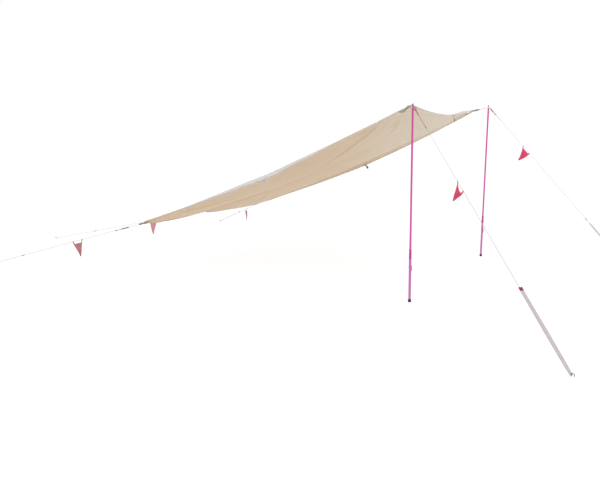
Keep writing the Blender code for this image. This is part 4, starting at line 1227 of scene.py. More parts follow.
def loop_points(start, end, bend_start, bend_end, start_turn, end_turn, stretch):
    """A closed loop along X whose flat turns from one end to the other, as angles about X."""
    def spot(x, side, turn):
        return (x, side * math.cos(turn), side * math.sin(turn))

    legs = 12
    first_bend = arc((start, 0.0), bend_start * stretch, bend_start, 90, 270, 12)
    points = [spot(x, side, start_turn) for x, side in first_bend]
    turns = []
    for step in range(1, legs):
        part = step / legs
        share = eased(part, 0.0, 1.0)
        wide = bend_start + (bend_end - bend_start) * share
        turns.append((part, wide, start_turn + (end_turn - start_turn) * part))
    points += [spot(start + (end - start) * part, -side, turn) for part, side, turn in turns]
    points += [spot(x, side, end_turn) for x, side in arc((end, 0.0), bend_end, bend_end, -90, 90, 12)]
    points += [spot(start + (end - start) * part, side, turn) for part, side, turn in reversed(turns)]
    return points


def edge_roll(corner, place):
    """How far a corner's trimmed edge is turned about its strap's length, within a quarter turn."""
    across, back = corner_place(corner)
    share = CORNER_CUT * math.sqrt(2.0)
    beside = smooth_roof(abs(across - share / SPAN), back)
    along = smooth_roof(across, abs(back - share / RUN))
    edge = place.to_3x3().inverted() @ (beside - along)
    turn = math.atan2(edge.z, edge.y)
    return turn - math.pi * round((turn - math.radians(CORNER_ROLL[corner])) / math.pi)


def twist_strap(shape, start, start_turn, end, end_turn):
    """Twists a strap about X from one turn to another, all of it between its start and its end."""
    for vert in shape.verts:
        turn = start_turn + (end_turn - start_turn) * eased((vert.co.x - start) / (end - start), 0.0, 1.0)
        vert.co = Matrix.Rotation(turn, 3, "X") @ vert.co


def add_keeper(name, start, end, width, cuts, twist, finish, place):
    """A sleeve of webbing sewn round part of a strap, which twists with it."""
    shape = strap_shape(start, end, width, (False, False), (), STRAP_THICKNESS + 0.0026, cuts)
    twist_strap(shape, *twist)
    soften(settle(shape, f"{name}_keeper", finish, "tarp", place=place), 0.0008)


def webbing_finishes(settings):
    """The finishes of straps, tabs, loops and eyelets, by name."""
    # The light finish is painted light: the grey strap colour laid 2.7 times brighter for the near side tab.
    grey, light = settings.strap_colour, tuple(value * 2.7 for value in settings.strap_colour)
    return {
        "grey": webbing_finish("grey webbing", grey, (0.42, 0.40, 0.39)),
        "pale": webbing_finish("pale webbing", settings.peg_strap_colour, (0.74, 0.66, 0.69), 0.72),
        "light": webbing_finish("sunlit grey webbing", light, (0.60, 0.58, 0.60)),
        "patch": webbing_finish("patch webbing", settings.patch_colour, (0.50, 0.45, 0.40)),
        "brown": webbing_finish("brown webbing", (0.13, 0.085, 0.065), (0.30, 0.22, 0.18)),
        "bark": webbing_finish("light brown webbing", (0.25, 0.17, 0.135), (0.40, 0.30, 0.25)),
        "tan": webbing_finish("tan webbing", (0.40, 0.35, 0.30), (0.50, 0.45, 0.40), 0.50),
        "sand": webbing_finish("sand webbing", (0.50, 0.41, 0.31), (0.55, 0.47, 0.37)),
        "crimson": webbing_finish("crimson webbing", (0.54, 0.16, 0.20), (0.62, 0.33, 0.36)),
        "metal": steel_finish("eyelet metal", settings.eyelet_colour),
        "painted": painted_finish("pink eyelet paint", (0.60, 0.068, 0.31)),
        "elastic": cord_finish("elastic loop", settings.elastic_colour, (0.50, 0.48, 0.47), 0.009),
        "dark": cord_finish("dark elastic loop", (0.40, 0.33, 0.33), (0.46, 0.40, 0.39), 0.009),
    }


def even_cuts(start, end, count):
    """Places of cuts from start to end, both counted."""
    return [start + (end - start) * step / count for step in range(count + 1)]


def make_corner_straps(finishes):
    """The strap at each corner of the sheet and the loop that carries it."""
    hole = LINK_RADIUS + RUNNING_GAP
    for corner in CORNERS:
        side = corner.split("_")[0]
        is_near_front = corner == "near_front"
        turned = math.radians(CORNER_ROLL[corner])
        eye_turn = turned - math.pi / 2
        if corner.endswith("front"):
            seat = pole_point(side, LINK_SEAT)
            place = frame_along(seat, corner_point(corner))
            reach = (corner_point(corner) - seat).length - RUNNING_GAP
            eye_place = reach - CORNER_STRAP_LENGTH
            ends = (eye_place - hole - EYE_RIM, reach, (True, False))
            over_spike = SPIKE_RADIUS + LINK_RADIUS + GAP * 1.5
            stretch = 1.0 / math.cos(slope_of(place))
            loop = loop_points(0.0, eye_place - LINK_BEND, over_spike, LINK_BEND, 0.0, eye_turn, stretch)
            twist = (reach - 0.022, turned, reach - 0.002, edge_roll(corner, place))
        else:
            place = shifted(stay_frame(corner)[0], (0.0, 0.0, -TAIL_SPACING / 2))
            eye_place = CORNER_STRAP_LENGTH
            ends = (RUNNING_GAP, eye_place + hole + EYE_RIM, (False, True))
            last = eye_place + LINK_LENGTH - LINK_BEND
            far_turn = math.radians(GUY_ROLL[corner]) - math.pi / 2
            loop = loop_points(eye_place + LINK_BEND, last, LINK_BEND, LINK_BEND, eye_turn, far_turn, 1.0)
            twist = (0.010, edge_roll(corner, place), eye_place - 0.012, turned)
        eyes = [(eye_place, hole, hole)]
        cuts = even_cuts(twist[0], twist[2], 10)
        width = WIDE_STRAP_WIDTH if is_near_front else CORNER_STRAP_WIDTH
        shape = strap_shape(ends[0], ends[1], width, ends[2], eyes, STRAP_THICKNESS, cuts)
        twist_strap(shape, *twist)
        node = f"{corner}_corner_strap"
        finish = finishes["tan" if is_near_front else "grey"]
        soften(settle(shape, f"{node}_woven", finish, "tarp", [node], place), 0.0005)
        if corner == "far_front":
            keeper = (reach - 0.052, reach - 0.006, width + 0.004)
            add_keeper(node, *keeper, cuts, twist, finishes["bark"], place)
        add_eyelets(node, eyes, finishes["metal"], place, [turned])
        node = f"{corner}_link_loop"
        shape = swept_shape(loop, LINK_RADIUS, 10, closed=True)
        finish = finishes["dark" if is_near_front else "elastic"]
        settle(shape, f"{node}_braided", finish, "tarp", [node], place, sharp=180.0)


def make_guy_straps(finishes):
    """The strap at the top of each guy line; the middle rear one is the sheet's own rear tab."""
    cord_hole = CORD_RADIUS + RUNNING_GAP
    for stay in STAYS:
        is_front = stay.endswith("front")
        plates = shifted(stay_frame(stay)[0], (0.0, 0.0, -TAIL_SPACING / 2))
        start, first_eye, end_eye = stay_start(stay)
        turned = math.radians(GUY_ROLL[stay])
        start_turn = 0.0 if is_front else turned
        end = end_eye + cord_hole + EYE_RIM
        eyes, turns = [(end_eye, cord_hole, cord_hole)], [turned]
        if stay == "middle_rear":
            node, width = "rear_tab", CORNER_STRAP_WIDTH
            ends = (RUNNING_GAP, end, (False, True))
        else:
            node, width = f"{stay}_guy_strap", GUY_STRAP_WIDTH
            eyes, turns = [(start, *first_eye)] + eyes, [start_turn, turned]
            ends = (start - first_eye[0] - EYE_RIM, end, (True, True))
        twist = (start + 0.012, start_turn, start + 0.060, turned)
        cuts = even_cuts(twist[0], twist[2], 10) if is_front else ()
        shape = strap_shape(ends[0], ends[1], width, ends[2], eyes, STRAP_THICKNESS, cuts)
        twist_strap(shape, *twist)
        finish = finishes[{"near_front": "tan", "far_front": "brown"}.get(stay, "grey")]
        soften(settle(shape, f"{node}_woven", finish, "tarp", [node], plates), 0.0005)
        rims = finishes["painted" if is_front else "metal"]
        add_eyelets(node, eyes, rims, plates, turns)
        if stay == "near_front":
            keeper = (0.052, end_eye - 0.009, width + 0.007)
            add_keeper(node, *keeper, cuts, twist, finishes["crimson"], plates)


def make_peg_straps(finishes):
    """The wide pale straps between the two front sliders and their pegs."""
    for stay in ("near_front", "far_front"):
        place, reach = stay_frame(stay)
        radii = slanted_eye(PEG_RADIUS, slope_of(place))
        start = reach * SLIDER_PLACE[stay] + SLIDER_SIZE[0] / 2 + GAP
        end = reach + radii[0] + EYE_RIM
        cuts = even_cuts(start, reach, 24)[1:-1]
        eyes = [(reach, *radii)]
        shape = strap_shape(start, end, PEG_STRAP_WIDTH, (False, True), eyes, STRAP_THICKNESS, cuts)
        for vert in shape.verts:
            part = (vert.co.x - start) / (reach - start)
            if part < 0.97:
                vert.co.y *= between(PEG_STRAP_WIDENING, part)
            twist = PEG_STRAP_TWIST[stay] * eased(part, 0.02, 0.12) * (1.0 - eased(part, 0.80, 0.97))
            vert.co = Matrix.Rotation(twist, 3, "X") @ vert.co
        line = shifted(place, (0.0, peg_bend(), 0.0))
        node = f"{stay}_peg_strap"
        soften(settle(shape, f"{node}_woven", finishes["pale"], "tarp", [node], line), 0.0005)
        add_eyelets(node, eyes, finishes["metal"], line)


def make_straps(settings):
    """Corner straps, link loops, guy straps, peg straps, edge tabs and corner patches."""
    finishes = webbing_finishes(settings)
    make_corner_straps(finishes)
    make_guy_straps(finishes)
    make_peg_straps(finishes)
    for name, tab in TABS.items():
        make_tab(name, finishes[tab["finish"]], finishes["brown"])
    make_corner_patches(finishes["patch"], finishes["brown"])


def edge_place(edge, place):
    """A place on an edge of the finished sheet, the way along the edge and the way inwards."""
    spots = {
        "near": ((0.0, place), (0.0, place + 0.01), (MARGIN / SPAN, place)),
        "far": ((1.0, place), (1.0, place + 0.01), (1.0 - MARGIN / SPAN, place)),
        "front": ((place, 0.0), (place + 0.01, 0.0), (place, MARGIN / RUN)),
    }[edge]
    here, after, inner = (roof_point(*spot) for spot in spots)
    return here, (after - here), (inner - here)


def make_tab(name, finish, end_finish):
    """A folded webbing tab: sewn to the margin above, hanging free below, its end bound."""
    tab = TABS[name]
    here, along, inward = edge_place(tab["edge"], tab["place"])
    level = Vector((along.x, along.y, 0.0)).normalized()
    grade = along.z / Vector((along.x, along.y, 0.0)).length
    level_in = Vector((inward.x, inward.y, 0.0))
    rise_in = inward.z / level_in.length
    half_stack = 0.0015 * math.sqrt(1.0 + grade ** 2 + rise_in ** 2)
    top = here + level_in.normalized() * tab["inset"]
    top.z = here.z + rise_in * tab["inset"] - half_stack - abs(rise_in) * 0.0015 - GAP
    outward = -level_in.normalized()
    side = level + UP * grade
    steps = 10
    length = tab["length"] * 0.985
    line = [top]
    for step in range(steps):
        share = (step + 0.5) / steps
        swing = math.radians(tab["swing"][0] * (1.0 - share) + tab["swing"][1] * share)
        line.append(line[-1] + (level * math.sin(swing) - UP * math.cos(swing)) * (length / steps))
    drop = (line[-1] - line[-2]).normalized()
    for label, first, fold, material, stands_for in (
        ("folded", 0, 0.0011, finish, [name]), ("end_bound", steps - 3, 0.0026, end_finish, ()),
    ):
        if label == "end_bound" and name == "near_side_tab":
            continue
        route = [point + outward * fold for point in line[first:]]
        for x, y in arc((0.0, 0.0), fold, fold, -60, 60, 4)[1:-1]:
            route.append(line[-1] + drop * x - outward * y)
        route += [point - outward * fold for point in reversed(line[first:])]
        width = TAB_WIDTH if label == "folded" else TAB_WIDTH + 0.001
        shape = ribbon_shape(route, [side] * len(route), [width] * len(route))
        piece = settle(shape, f"{name}_{label}", material, "tarp", stands_for, sharp=60.0)
        thicken(piece, 0.0012)

    spots = []
    for step in range(9):
        inside = TAB_SEWN_START + TAB_SEWN_LENGTH * step / 8
        spots.append({
            "near": (inside, tab["place"] * CUT_LENGTH, (0.0, 1.0)),
            "far": (CUT_WIDTH - inside, tab["place"] * CUT_LENGTH, (0.0, 1.0)),
            "front": (tab["place"] * CUT_WIDTH, inside, (1.0, 0.0)),
        }[tab["edge"]])
    lay_on_cloth(f"{name}_sewn", spots, [TAB_WIDTH] * len(spots), finish, 1.0)


def lay_on_cloth(name, spots, widths, finish, face):
    """A strip sewn on the sheet: spots are places and the way across the strip; face is 1 for above."""
    route, sides = [], []
    for across, back, way in spots:
        point, normal, _ = cloth_place(across, back)
        beside, _, _ = cloth_place(across + way[0] * 0.004, back + way[1] * 0.004)
        route.append(point + normal * (SEWN_LIFT * face))
        sides.append((beside - point).normalized())
    shape = ribbon_shape(route, sides, widths)
    thicken(settle(shape, name, finish, "tarp", sharp=60.0), THIN_WEBBING)


def make_corner_patches(finish, far_finish):
    """Webbing sewn over the sheet's four corners, above and below, and down the near front edge."""
    for corner in CORNERS:
        from_far, from_rear = corner_place(corner)
        sign_across, sign_back = 1.0 - 2.0 * from_far, 1.0 - 2.0 * from_rear
        spots, widths = [], []
        start, length, wide, inner_wide = PATCHES[corner]
        for step in range(13):
            reach = start + length * step / 12
            across, back = reach * INWARDS[0], reach * INWARDS[1]
            spots.append((
                CUT_WIDTH - across if from_far else across, CUT_LENGTH - back if from_rear else back,
                (INWARDS[1] * sign_across, -INWARDS[0] * sign_back),
            ))
            widths.append(wide + (inner_wide - wide) * eased(step / 12, 0.0, 1.0))
        lay_on_cloth(f"{corner}_patch_above", spots, widths, finish, 1.0)
        below = far_finish if corner == "far_front" else finish
        lay_on_cloth(f"{corner}_patch_below", spots, widths, below, -1.0)

    route, sides, widths = [], [], []
    lean = Vector((0.20, 0.0, -0.98)).normalized()
    for step in range(17):
        part = step / 16
        point, _, _ = cloth_place(0.002, BINDING_START + BINDING_LENGTH * part)
        tall = BINDING_WIDTH + BINDING_SWELL * math.sin(math.pi * min(1.0, 0.15 + part * 0.85))
        route.append(point + lean * (tall / 2) - UP * 0.0012)
        sides.append(lean)
        widths.append(tall)
    shape = ribbon_shape(route, sides, widths)
    piece = settle(shape, "near_front_edge_binding", finish, "tarp", sharp=60.0)
    thicken(piece, 0.0016)


def make_poles(settings):
    """The two telescopic poles, each with spike, cap, tubes, collar, clamp lever and rubber foot."""
    paint = painted_finish("pink paint", settings.tube_colour)
    pale_paint = painted_finish("pale pink paint", settings.lower_colour)
    collar = moulded_finish("collar plastic", settings.collar_colour, (0.52, 0.20, 0.38))
    grey = moulded_finish("lever plastic", settings.lever_colour, (0.74, 0.74, 0.74))
    cap = moulded_finish("cap plastic", (0.60, 0.085, 0.36), (0.70, 0.35, 0.55))
    rubber = rubber_finish("black rubber", settings.rubber_colour)
    steps = settings.turn_steps
    bore = UPPER_TUBE_RADIUS - TUBE_WALL
    for side in POLES:
        place = pole_frame(side)
        lower = f"{side}_pole_lower"

        top = UPPER_TUBE_TOP
        profile = [
            (UPPER_TUBE_RADIUS, GUIDE_TOP + 0.004), (UPPER_TUBE_RADIUS, 1.20), (UPPER_TUBE_RADIUS, top - 0.0008),
            (UPPER_TUBE_RADIUS - 0.0004, top), (bore + 0.0002, top), (bore, top - 0.0004),
            (bore, UPPER_TUBE_BOTTOM), (GUIDE_RADIUS, UPPER_TUBE_BOTTOM), (GUIDE_RADIUS, GUIDE_TOP),
        ]
        settle(turned_shape(profile, steps, True), f"{side}_upper_tube_painted", paint, "tarp",
               [f"{side}_pole_upper_tube"], place)

        base = top + GAP
        flange = top + SPIKE_FLANGE
        profile = [
            (0.0, flange + 0.0004), (SPIKE_RADIUS + 0.0016, flange + 0.0004), (SPIKE_RADIUS + 0.0030, flange - 0.0004),
            (UPPER_TUBE_RADIUS - 0.0010, flange - 0.0006), (UPPER_TUBE_RADIUS - 0.0001, flange - 0.0014),
            (UPPER_TUBE_RADIUS, base + 0.0006), (UPPER_TUBE_RADIUS - 0.0004, base), (bore - GAP, base),
            (bore - GAP, top - 0.020), (0.0, top - 0.020),
        ]
        settle(turned_shape(profile, steps, False), f"{side}_pole_cap", cap, "tarp", place=place)
        shape = turned_shape(STOPPER_PROFILE, steps, False)
        settle(shape, f"{side}_pole_stopper", cap, "tarp", place=place)
        profile = [(0.0, POLE_HEIGHT)]
        for angle in (20, 40, 60, 75, 90):
            turn = math.radians(angle)
            fall = SPIKE_RADIUS * (1.0 - math.cos(turn))
            profile.append((SPIKE_RADIUS * math.sin(turn), POLE_HEIGHT - fall))
        profile += [
            (SPIKE_RADIUS, POLE_HEIGHT - 0.012), (SPIKE_RADIUS, flange - 0.0002), (0.0, flange - 0.0002),
        ]
        settle(turned_shape(profile, 24, False), f"{side}_spike_turned", paint, "tarp",
               [f"{side}_pole_spike"], place)

        inner = LOWER_TUBE_RADIUS - TUBE_WALL
        mouth = UPPER_TUBE_RADIUS + RUNNING_GAP
        bottom = FOOT_FLOOR + RUNNING_GAP
        slope = [(NECK_RADIUS + (LOWER_TUBE_RADIUS - NECK_RADIUS) * eased(part / 8, 0.0, 1.0),
                  NECK_TOP - 0.020 - 0.080 * part / 8) for part in range(9)]
        profile = [(NECK_RADIUS - 0.0003, NECK_TOP), (NECK_RADIUS, NECK_TOP - 0.0005)] + slope
        profile += [(LOWER_TUBE_RADIUS, 0.25), (LOWER_TUBE_RADIUS, bottom), (inner, bottom),
                    (inner, NECK_BOTTOM), (mouth, NECK_TOP - 0.020), (mouth, NECK_TOP)]
        settle(turned_shape(profile, steps, True), f"{side}_lower_tube_painted", pale_paint, lower,
               [f"{side}_pole_lower_tube"], place)
        ring = NECK_RADIUS + 0.0009
        grip = [(radius + 0.0009, height) for radius, height in slope]
        seat = [(radius + 0.0001, height) for radius, height in reversed(slope)]
        bead = [(grip[-1][0] + 0.0004, 0.4992), (grip[-1][0] + 0.0004, 0.4968), (grip[-1][0], 0.4960),
                (seat[0][0], 0.4960)]
        profile = [
            (NECK_RADIUS, 0.6012), (ring, 0.6012), (ring + 0.0004, 0.6004), (ring + 0.0004, 0.5975), (ring, 0.5965),
        ] + grip + bead + seat
        settle(turned_shape(profile, steps, True), f"{side}_collar", collar, lower, place=place)

        make_lever(side, grey, pale_paint, lower, place)

        foot = Matrix.Translation(POLES[side][0])
        cup = LOWER_TUBE_RADIUS + GAP
        outer = FOOT_RADIUS + 0.0012
        profile = [(0.0, FOOT_FLOOR), (cup, FOOT_FLOOR), (cup, FOOT_HEIGHT - 0.0006), (cup + 0.0008, FOOT_HEIGHT),
                   (outer - 0.0010, FOOT_HEIGHT), (outer - 0.0002, FOOT_HEIGHT - 0.0010)]
        for step in range(4):
            level = 0.0270 - 0.0055 * step
            profile += [(outer, level), (outer - 0.0009, level - 0.0012), (outer - 0.0009, level - 0.0030),
                        (outer, level - 0.0042)]
        profile += [(outer, 0.0022), (outer - 0.0008, 0.0007), (outer - 0.0022, 0.0), (0.0, 0.0)]
        settle(turned_shape(profile, steps, False), f"{side}_foot_moulded", rubber, lower,
               [f"{side}_pole_foot"], foot)


def make_lever(side, finish, band_finish, body, place):
    """The clamp lever of the lower tube: a tapering, curved finger on a band round the tube."""
    thick, wide, tall = LEVER_SIZE
    shape = bmesh.new()
    bmesh.ops.create_cube(shape, size=1.0, matrix=Matrix.Diagonal((thick, wide, tall, 1.0)))
    slice_layers(shape, tall, 8)
    for vert in shape.verts:
        part = vert.co.z / tall + 0.5
        waist = 1.0 - 0.16 * math.sin(math.pi * part) - 0.18 * eased(1.0 - part, 0.75, 1.0)
        vert.co.y *= waist
        if vert.co.x > 0.0:
            vert.co.x -= 0.0028 * eased(part, 0.55, 1.0) + 0.0012 * math.sin(math.pi * part)
    reach = LOWER_TUBE_RADIUS + RUNNING_GAP + thick / 2
    spot = place @ Matrix.Rotation(LEVER_SIDE, 4, "Z") @ Matrix.Translation((reach, 0.0, LEVER_HEIGHT))
    lever = settle(shape, f"{side}_lever_moulded", finish, body, [f"{side}_pole_lever"], spot)
    soften(lever, 0.0016, 3)

    low, high = LEVER_HEIGHT + 0.004, LEVER_HEIGHT + 0.024
    inside = LOWER_TUBE_RADIUS + 0.0001
    outside = LOWER_TUBE_RADIUS + 0.0016
    profile = [
        (inside, low), (outside - 0.0003, low), (outside, low + 0.0005), (outside, high - 0.0005),
        (outside - 0.0003, high), (inside, high),
    ]
    settle(turned_shape(profile, 40, True), f"{side}_lever_band", band_finish, body, place=place)


def rolled(point, stay, eye):
    """Turns a place near a guy line's eye with its strap; the turn dies away along the line."""
    middle = Vector((point[0], 0.0, -TAIL_SPACING / 2))
    release = eye + HAIRPIN_TAIL[stay]
    share = 1.0 - eased(point[0], release, release + 0.20)
    turn = Matrix.Rotation(math.radians(GUY_ROLL[stay]) * share, 3, "X")
    return middle + turn @ (Vector(point) - middle)


def cord_route(stay):
    """The cord's route in its frame: its tail, the turn in the eye, and on to its end."""
    place, reach = stay_frame(stay)
    _, _, eye = stay_start(stay)
    middle = -TAIL_SPACING / 2
    ahead = Vector((0.030, 0.0, 0.0))
    hairpin = arc((eye + HAIRPIN_BEND, middle), HAIRPIN_BEND, HAIRPIN_BEND, 270, 90, 14)
    turn = [Vector((x, 0.0, z)) for x, z in hairpin]
    tail = Vector((eye + HAIRPIN_CLOSE, 0.0, -TAIL_SPACING))
    onward = Vector((eye + HAIRPIN_CLOSE, 0.0, 0.0))
    end = eye + HAIRPIN_TAIL[stay]
    points = [Vector((end + (tail.x - end) * step / 4, 0.0, -TAIL_SPACING)) for step in range(5)]
    points += bend(tail, -ahead, turn[0], -ahead, 8) + turn
    points += bend(turn[-1], ahead, onward, ahead, 8) + [onward]
    slider_place = reach * SLIDER_PLACE[stay]
    half = SLIDER_SIZE[0] / 2
    last = slider_place - half - 0.05 if not stay.endswith("front") else slider_place - half
    steps = 24
    for step in range(1, steps + 1):
        points.append(onward.lerp(Vector((last, 0.0, 0.0)), step / steps))
    if stay.endswith("front"):
        points.append(Vector((slider_place + half - CORD_END_IN_SLIDER, 0.0, 0.0)))
        return place, [rolled(point, stay, eye) for point in points]
    turn_radius = peg_bend()
    slope = slope_of(place)
    for step in range(1, 9):
        points.append(Vector((last + (reach - last) * step / 9, 0.0, 0.0)))
    round_peg = arc((reach, turn_radius), turn_radius / math.cos(slope), turn_radius, -90, 90, 14)
    points += [Vector((x, y, 0.0)) for x, y in round_peg]
    back = Vector((slider_place + half, SLIDER_HOLE_SPACING, 0.0))
    peg_side = points[-1].copy()
    points += [peg_side.lerp(back, step / 10) for step in range(1, 11)]
    points.append(Vector((slider_place - half - CORD_END_PAST_SLIDER, SLIDER_HOLE_SPACING, 0.0)))
    return place, [rolled(point, stay, eye) for point in points]


def knot_route(stay, past_eye, turns):
    """Turns of cord that bind a guy line's tail to it below the eye."""
    _, _, eye = stay_start(stay)
    start, pitch, steps = eye + past_eye, KNOT_RADIUS * 2.1, 14
    points = []
    for step in range(turns * steps + 1):
        angle = 2.0 * math.pi * step / steps
        across = CORD_RADIUS + KNOT_RADIUS
        tall = CORD_RADIUS + TAIL_SPACING / 2 + KNOT_RADIUS
        spot = (start + pitch * step / steps, across * math.cos(angle), -TAIL_SPACING / 2 + tall * math.sin(angle))
        points.append(rolled(spot, stay, eye))
    return points


def make_lines(settings):
    """The five guy lines and the knots that bind their tops."""
    tracer, top = (0.50, 0.17, 0.25), (0.46, 0.20, 0.19)
    plain = cord_finish("guy cord", settings.cord_colour, tracer, 0.016, top)
    tinted = cord_finish("guy cord, pink end", settings.cord_colour, tracer, 0.016, top, (0.48, 0.62))
    bound = cord_finish("knot cord", settings.knot_colour, (0.75, 0.45, 0.50), 0.012)
    for stay in STAYS:
        place, points = cord_route(stay)
        shape = swept_shape(points, CORD_RADIUS, 10)
        node = f"{stay}_guy_line"
        finish = tinted if stay in ("near_front", "far_rear") else plain
        settle(shape, f"{node}_braided", finish, "tarp", [node], place, sharp=180.0)
        for index, knot in enumerate(KNOTS[stay]):
            shape = swept_shape(knot_route(stay, *knot), KNOT_RADIUS, 7)
            settle(shape, f"{stay}_knot_{index + 1}", bound, "tarp", place=place, sharp=180.0)


def slider_shape(wide, notch):
    """A moulded slider: a waisted block with two holes for the cord, the first on its X axis."""
    long, _, thick = SLIDER_SIZE
    middle = SLIDER_HOLE_SPACING / 2
    shape = bmesh.new()
    bmesh.ops.create_circle(
        shape, cap_ends=False, segments=36, radius=1.0,
        matrix=Matrix.Translation((middle, 0.0, 0.0)) @ Matrix.Diagonal((wide / 2, thick / 2, 1.0, 1.0)),
    )
    for vert in shape.verts:
        over = (vert.co.x - middle) / (wide / 2)
        up = vert.co.y / (thick / 2)
        square = max(abs(over), abs(up)) ** 0.80
        vert.co.x = middle + over / max(0.001, math.hypot(over, up)) * wide / 2 / max(square, 0.72) * 0.98
        vert.co.y = up / max(0.001, math.hypot(over, up)) * thick / 2 / max(square, 0.72) * 0.98
        vert.co.x = max(middle - wide / 2, min(middle + wide / 2, vert.co.x))
        vert.co.y = max(-thick / 2, min(thick / 2, vert.co.y))
    bore = CORD_RADIUS + RUNNING_GAP
    for spot in (0.0, SLIDER_HOLE_SPACING):
        bmesh.ops.create_circle(
            shape, cap_ends=False, segments=20, radius=bore, matrix=Matrix.Translation((spot, 0.0, 0.0)),
        )
    bmesh.ops.triangle_fill(shape, use_beauty=True, edges=shape.edges[:], normal=(0.0, 0.0, 1.0))
    raise_faces(shape, long)
    slice_layers(shape, long, 12)
    for vert in shape.verts:
        in_first = math.hypot(vert.co.x, vert.co.y) < bore * 1.2
        in_second = math.hypot(vert.co.x - SLIDER_HOLE_SPACING, vert.co.y) < bore * 1.2
        if in_first or in_second:
            continue
        part = abs(vert.co.z) / (long / 2)
        waist = 1.0 - 0.10 * math.cos(part * math.pi / 2) ** 2 - 0.10 * eased(part, 0.82, 1.0)
        vert.co.x = middle + (vert.co.x - middle) * waist
        vert.co.y *= 1.0 - 0.12 * math.cos(part * math.pi / 2) ** 2 - 0.16 * eased(part, 0.82, 1.0)
        vert.co.z *= 1.0 - notch * math.exp(-((vert.co.x - middle - 0.002) / 0.006) ** 2)
    bmesh.ops.recalc_face_normals(shape, faces=shape.faces)
    turn = Matrix(((0.0, 0.0, 1.0, 0.0), (1.0, 0.0, 0.0, 0.0), (0.0, 1.0, 0.0, 0.0), (0.0, 0.0, 0.0, 1.0)))
    bmesh.ops.transform(shape, matrix=turn, verts=shape.verts)
    return shape


def make_sliders(settings):
    """The five sliders that tension the guy lines."""
    plastic = moulded_finish("slider plastic", settings.slider_colour, (0.48, 0.10, 0.18))
    for stay in STAYS:
        place, reach = stay_frame(stay)
        spot = shifted(place, (reach * SLIDER_PLACE[stay], 0.0, 0.0))
        node = f"{stay}_slider"
        is_buckle = stay.endswith("front")
        shape = slider_shape(BUCKLE_WIDTH if is_buckle else SLIDER_SIZE[1], 0.30 if is_buckle else 0.0)
        piece = settle(shape, f"{node}_moulded", plastic, "tarp", [node], spot, sharp=50.0)
        soften(piece, 0.0005)


def pennant_shape(seed, cut, cut_run, ahead, deeper, blown, bow):
    """A triangular flag, its top edge cut away between two loops, with soft ripples and sleeves."""
    shape = bmesh.new()
    columns, rows = 26, 30
    bmesh.ops.create_grid(shape, x_segments=columns, y_segments=rows, size=0.5)
    slant = math.hypot(PENNANT_HALF_WIDTH, PENNANT_DEPTH) / PENNANT_DEPTH
    flat = {}
    for vert in shape.verts:
        over = vert.co.x * 2.0
        down = 0.5 - vert.co.y
        low = cut * eased(over, *cut_run) * (1.0 - eased(over, 0.62, 0.86)) + 0.003 * (1.0 - over * over)
        top = Vector((over * PENNANT_HALF_WIDTH, -SLEEVE_RADIUS - low))
        spot = top.lerp(Vector((ahead + over * PENNANT_TIP / 2, -PENNANT_DEPTH - deeper)), down)
        half = PENNANT_HALF_WIDTH * (1.0 - down) + PENNANT_TIP / 2 * down
        edge = min(half * (1.0 - abs(over)) / slant, down * (PENNANT_DEPTH - 0.02))
        flat[vert.index] = (spot.x, edge)
        calm = min(1.0, down * 3.0)
        sway = 0.007 * calm * math.sin(over * 2.4 + seed) + 0.006 * calm * math.sin(down * 5.0 + seed * 1.7)
        sway += 0.003 * calm * noise.noise(Vector((over * 2.0, down * 3.0, seed))) + blown * math.sin(down * 2.8)
        vert.co = Vector((spot.x + bow * math.sin(down * math.pi), sway, spot.y))
    weave = shape.loops.layers.uv.new("weave")
    lay_uv(shape, weave, lambda vert: flat[vert.index])
    for sign in (-1.0, 1.0):
        middle = sign * (PENNANT_HALF_WIDTH - SLEEVE_LENGTH / 2)
        tube = bmesh.ops.create_cone(
            shape, cap_ends=False, segments=20, radius1=SLEEVE_RADIUS - 0.0013, radius2=SLEEVE_RADIUS - 0.0013,
            depth=SLEEVE_LENGTH,
            matrix=Matrix.Translation((middle, 0.0, 0.0)) @ Matrix.Rotation(math.pi / 2, 4, "Y"),
        )
        for vert in tube["verts"]:
            for loop in vert.link_loops:
                loop[weave].uv = (vert.co.x, 0.003 + abs(vert.co.z))
        for vert in tube["verts"]:
            if vert.co.z < -SLEEVE_RADIUS * 0.5:
                vert.co.z -= 0.0012
    bmesh.ops.recalc_face_normals(shape, faces=shape.faces)
    return shape


def make_pennants(settings):
    """The five warning pennants, each swinging on its guy line."""
    front = nylon_finish("front nylon", settings.front_pennant_colour, (0.78, 0.16, 0.245), (0.42, 0.045, 0.095))
    rear = nylon_finish("faded nylon", settings.rear_pennant_colour, (0.58, 0.27, 0.29), (0.25, 0.13, 0.12))
    bleached = nylon_finish("bleached nylon", (0.60, 0.25, 0.27), (0.70, 0.40, 0.41), (0.30, 0.16, 0.14))
    for index, stay in enumerate(STAYS):
        place, reach = stay_frame(stay)
        spot = shifted(place, (reach * PENNANT_PLACE[stay], 0.0, 0.0))
        is_front = stay.endswith("front")
        finish = front if is_front else bleached if stay == "middle_rear" else rear
        node = f"{stay}_pennant"
        shape = pennant_shape(index * 1.9 + 0.6, *PENNANT_HANG[stay])
        piece = settle(shape, f"{node}_flag", finish, f"{stay}_pennant_swing", [node], spot, sharp=180.0)
        thicken(piece, settings.cloth_thickness)


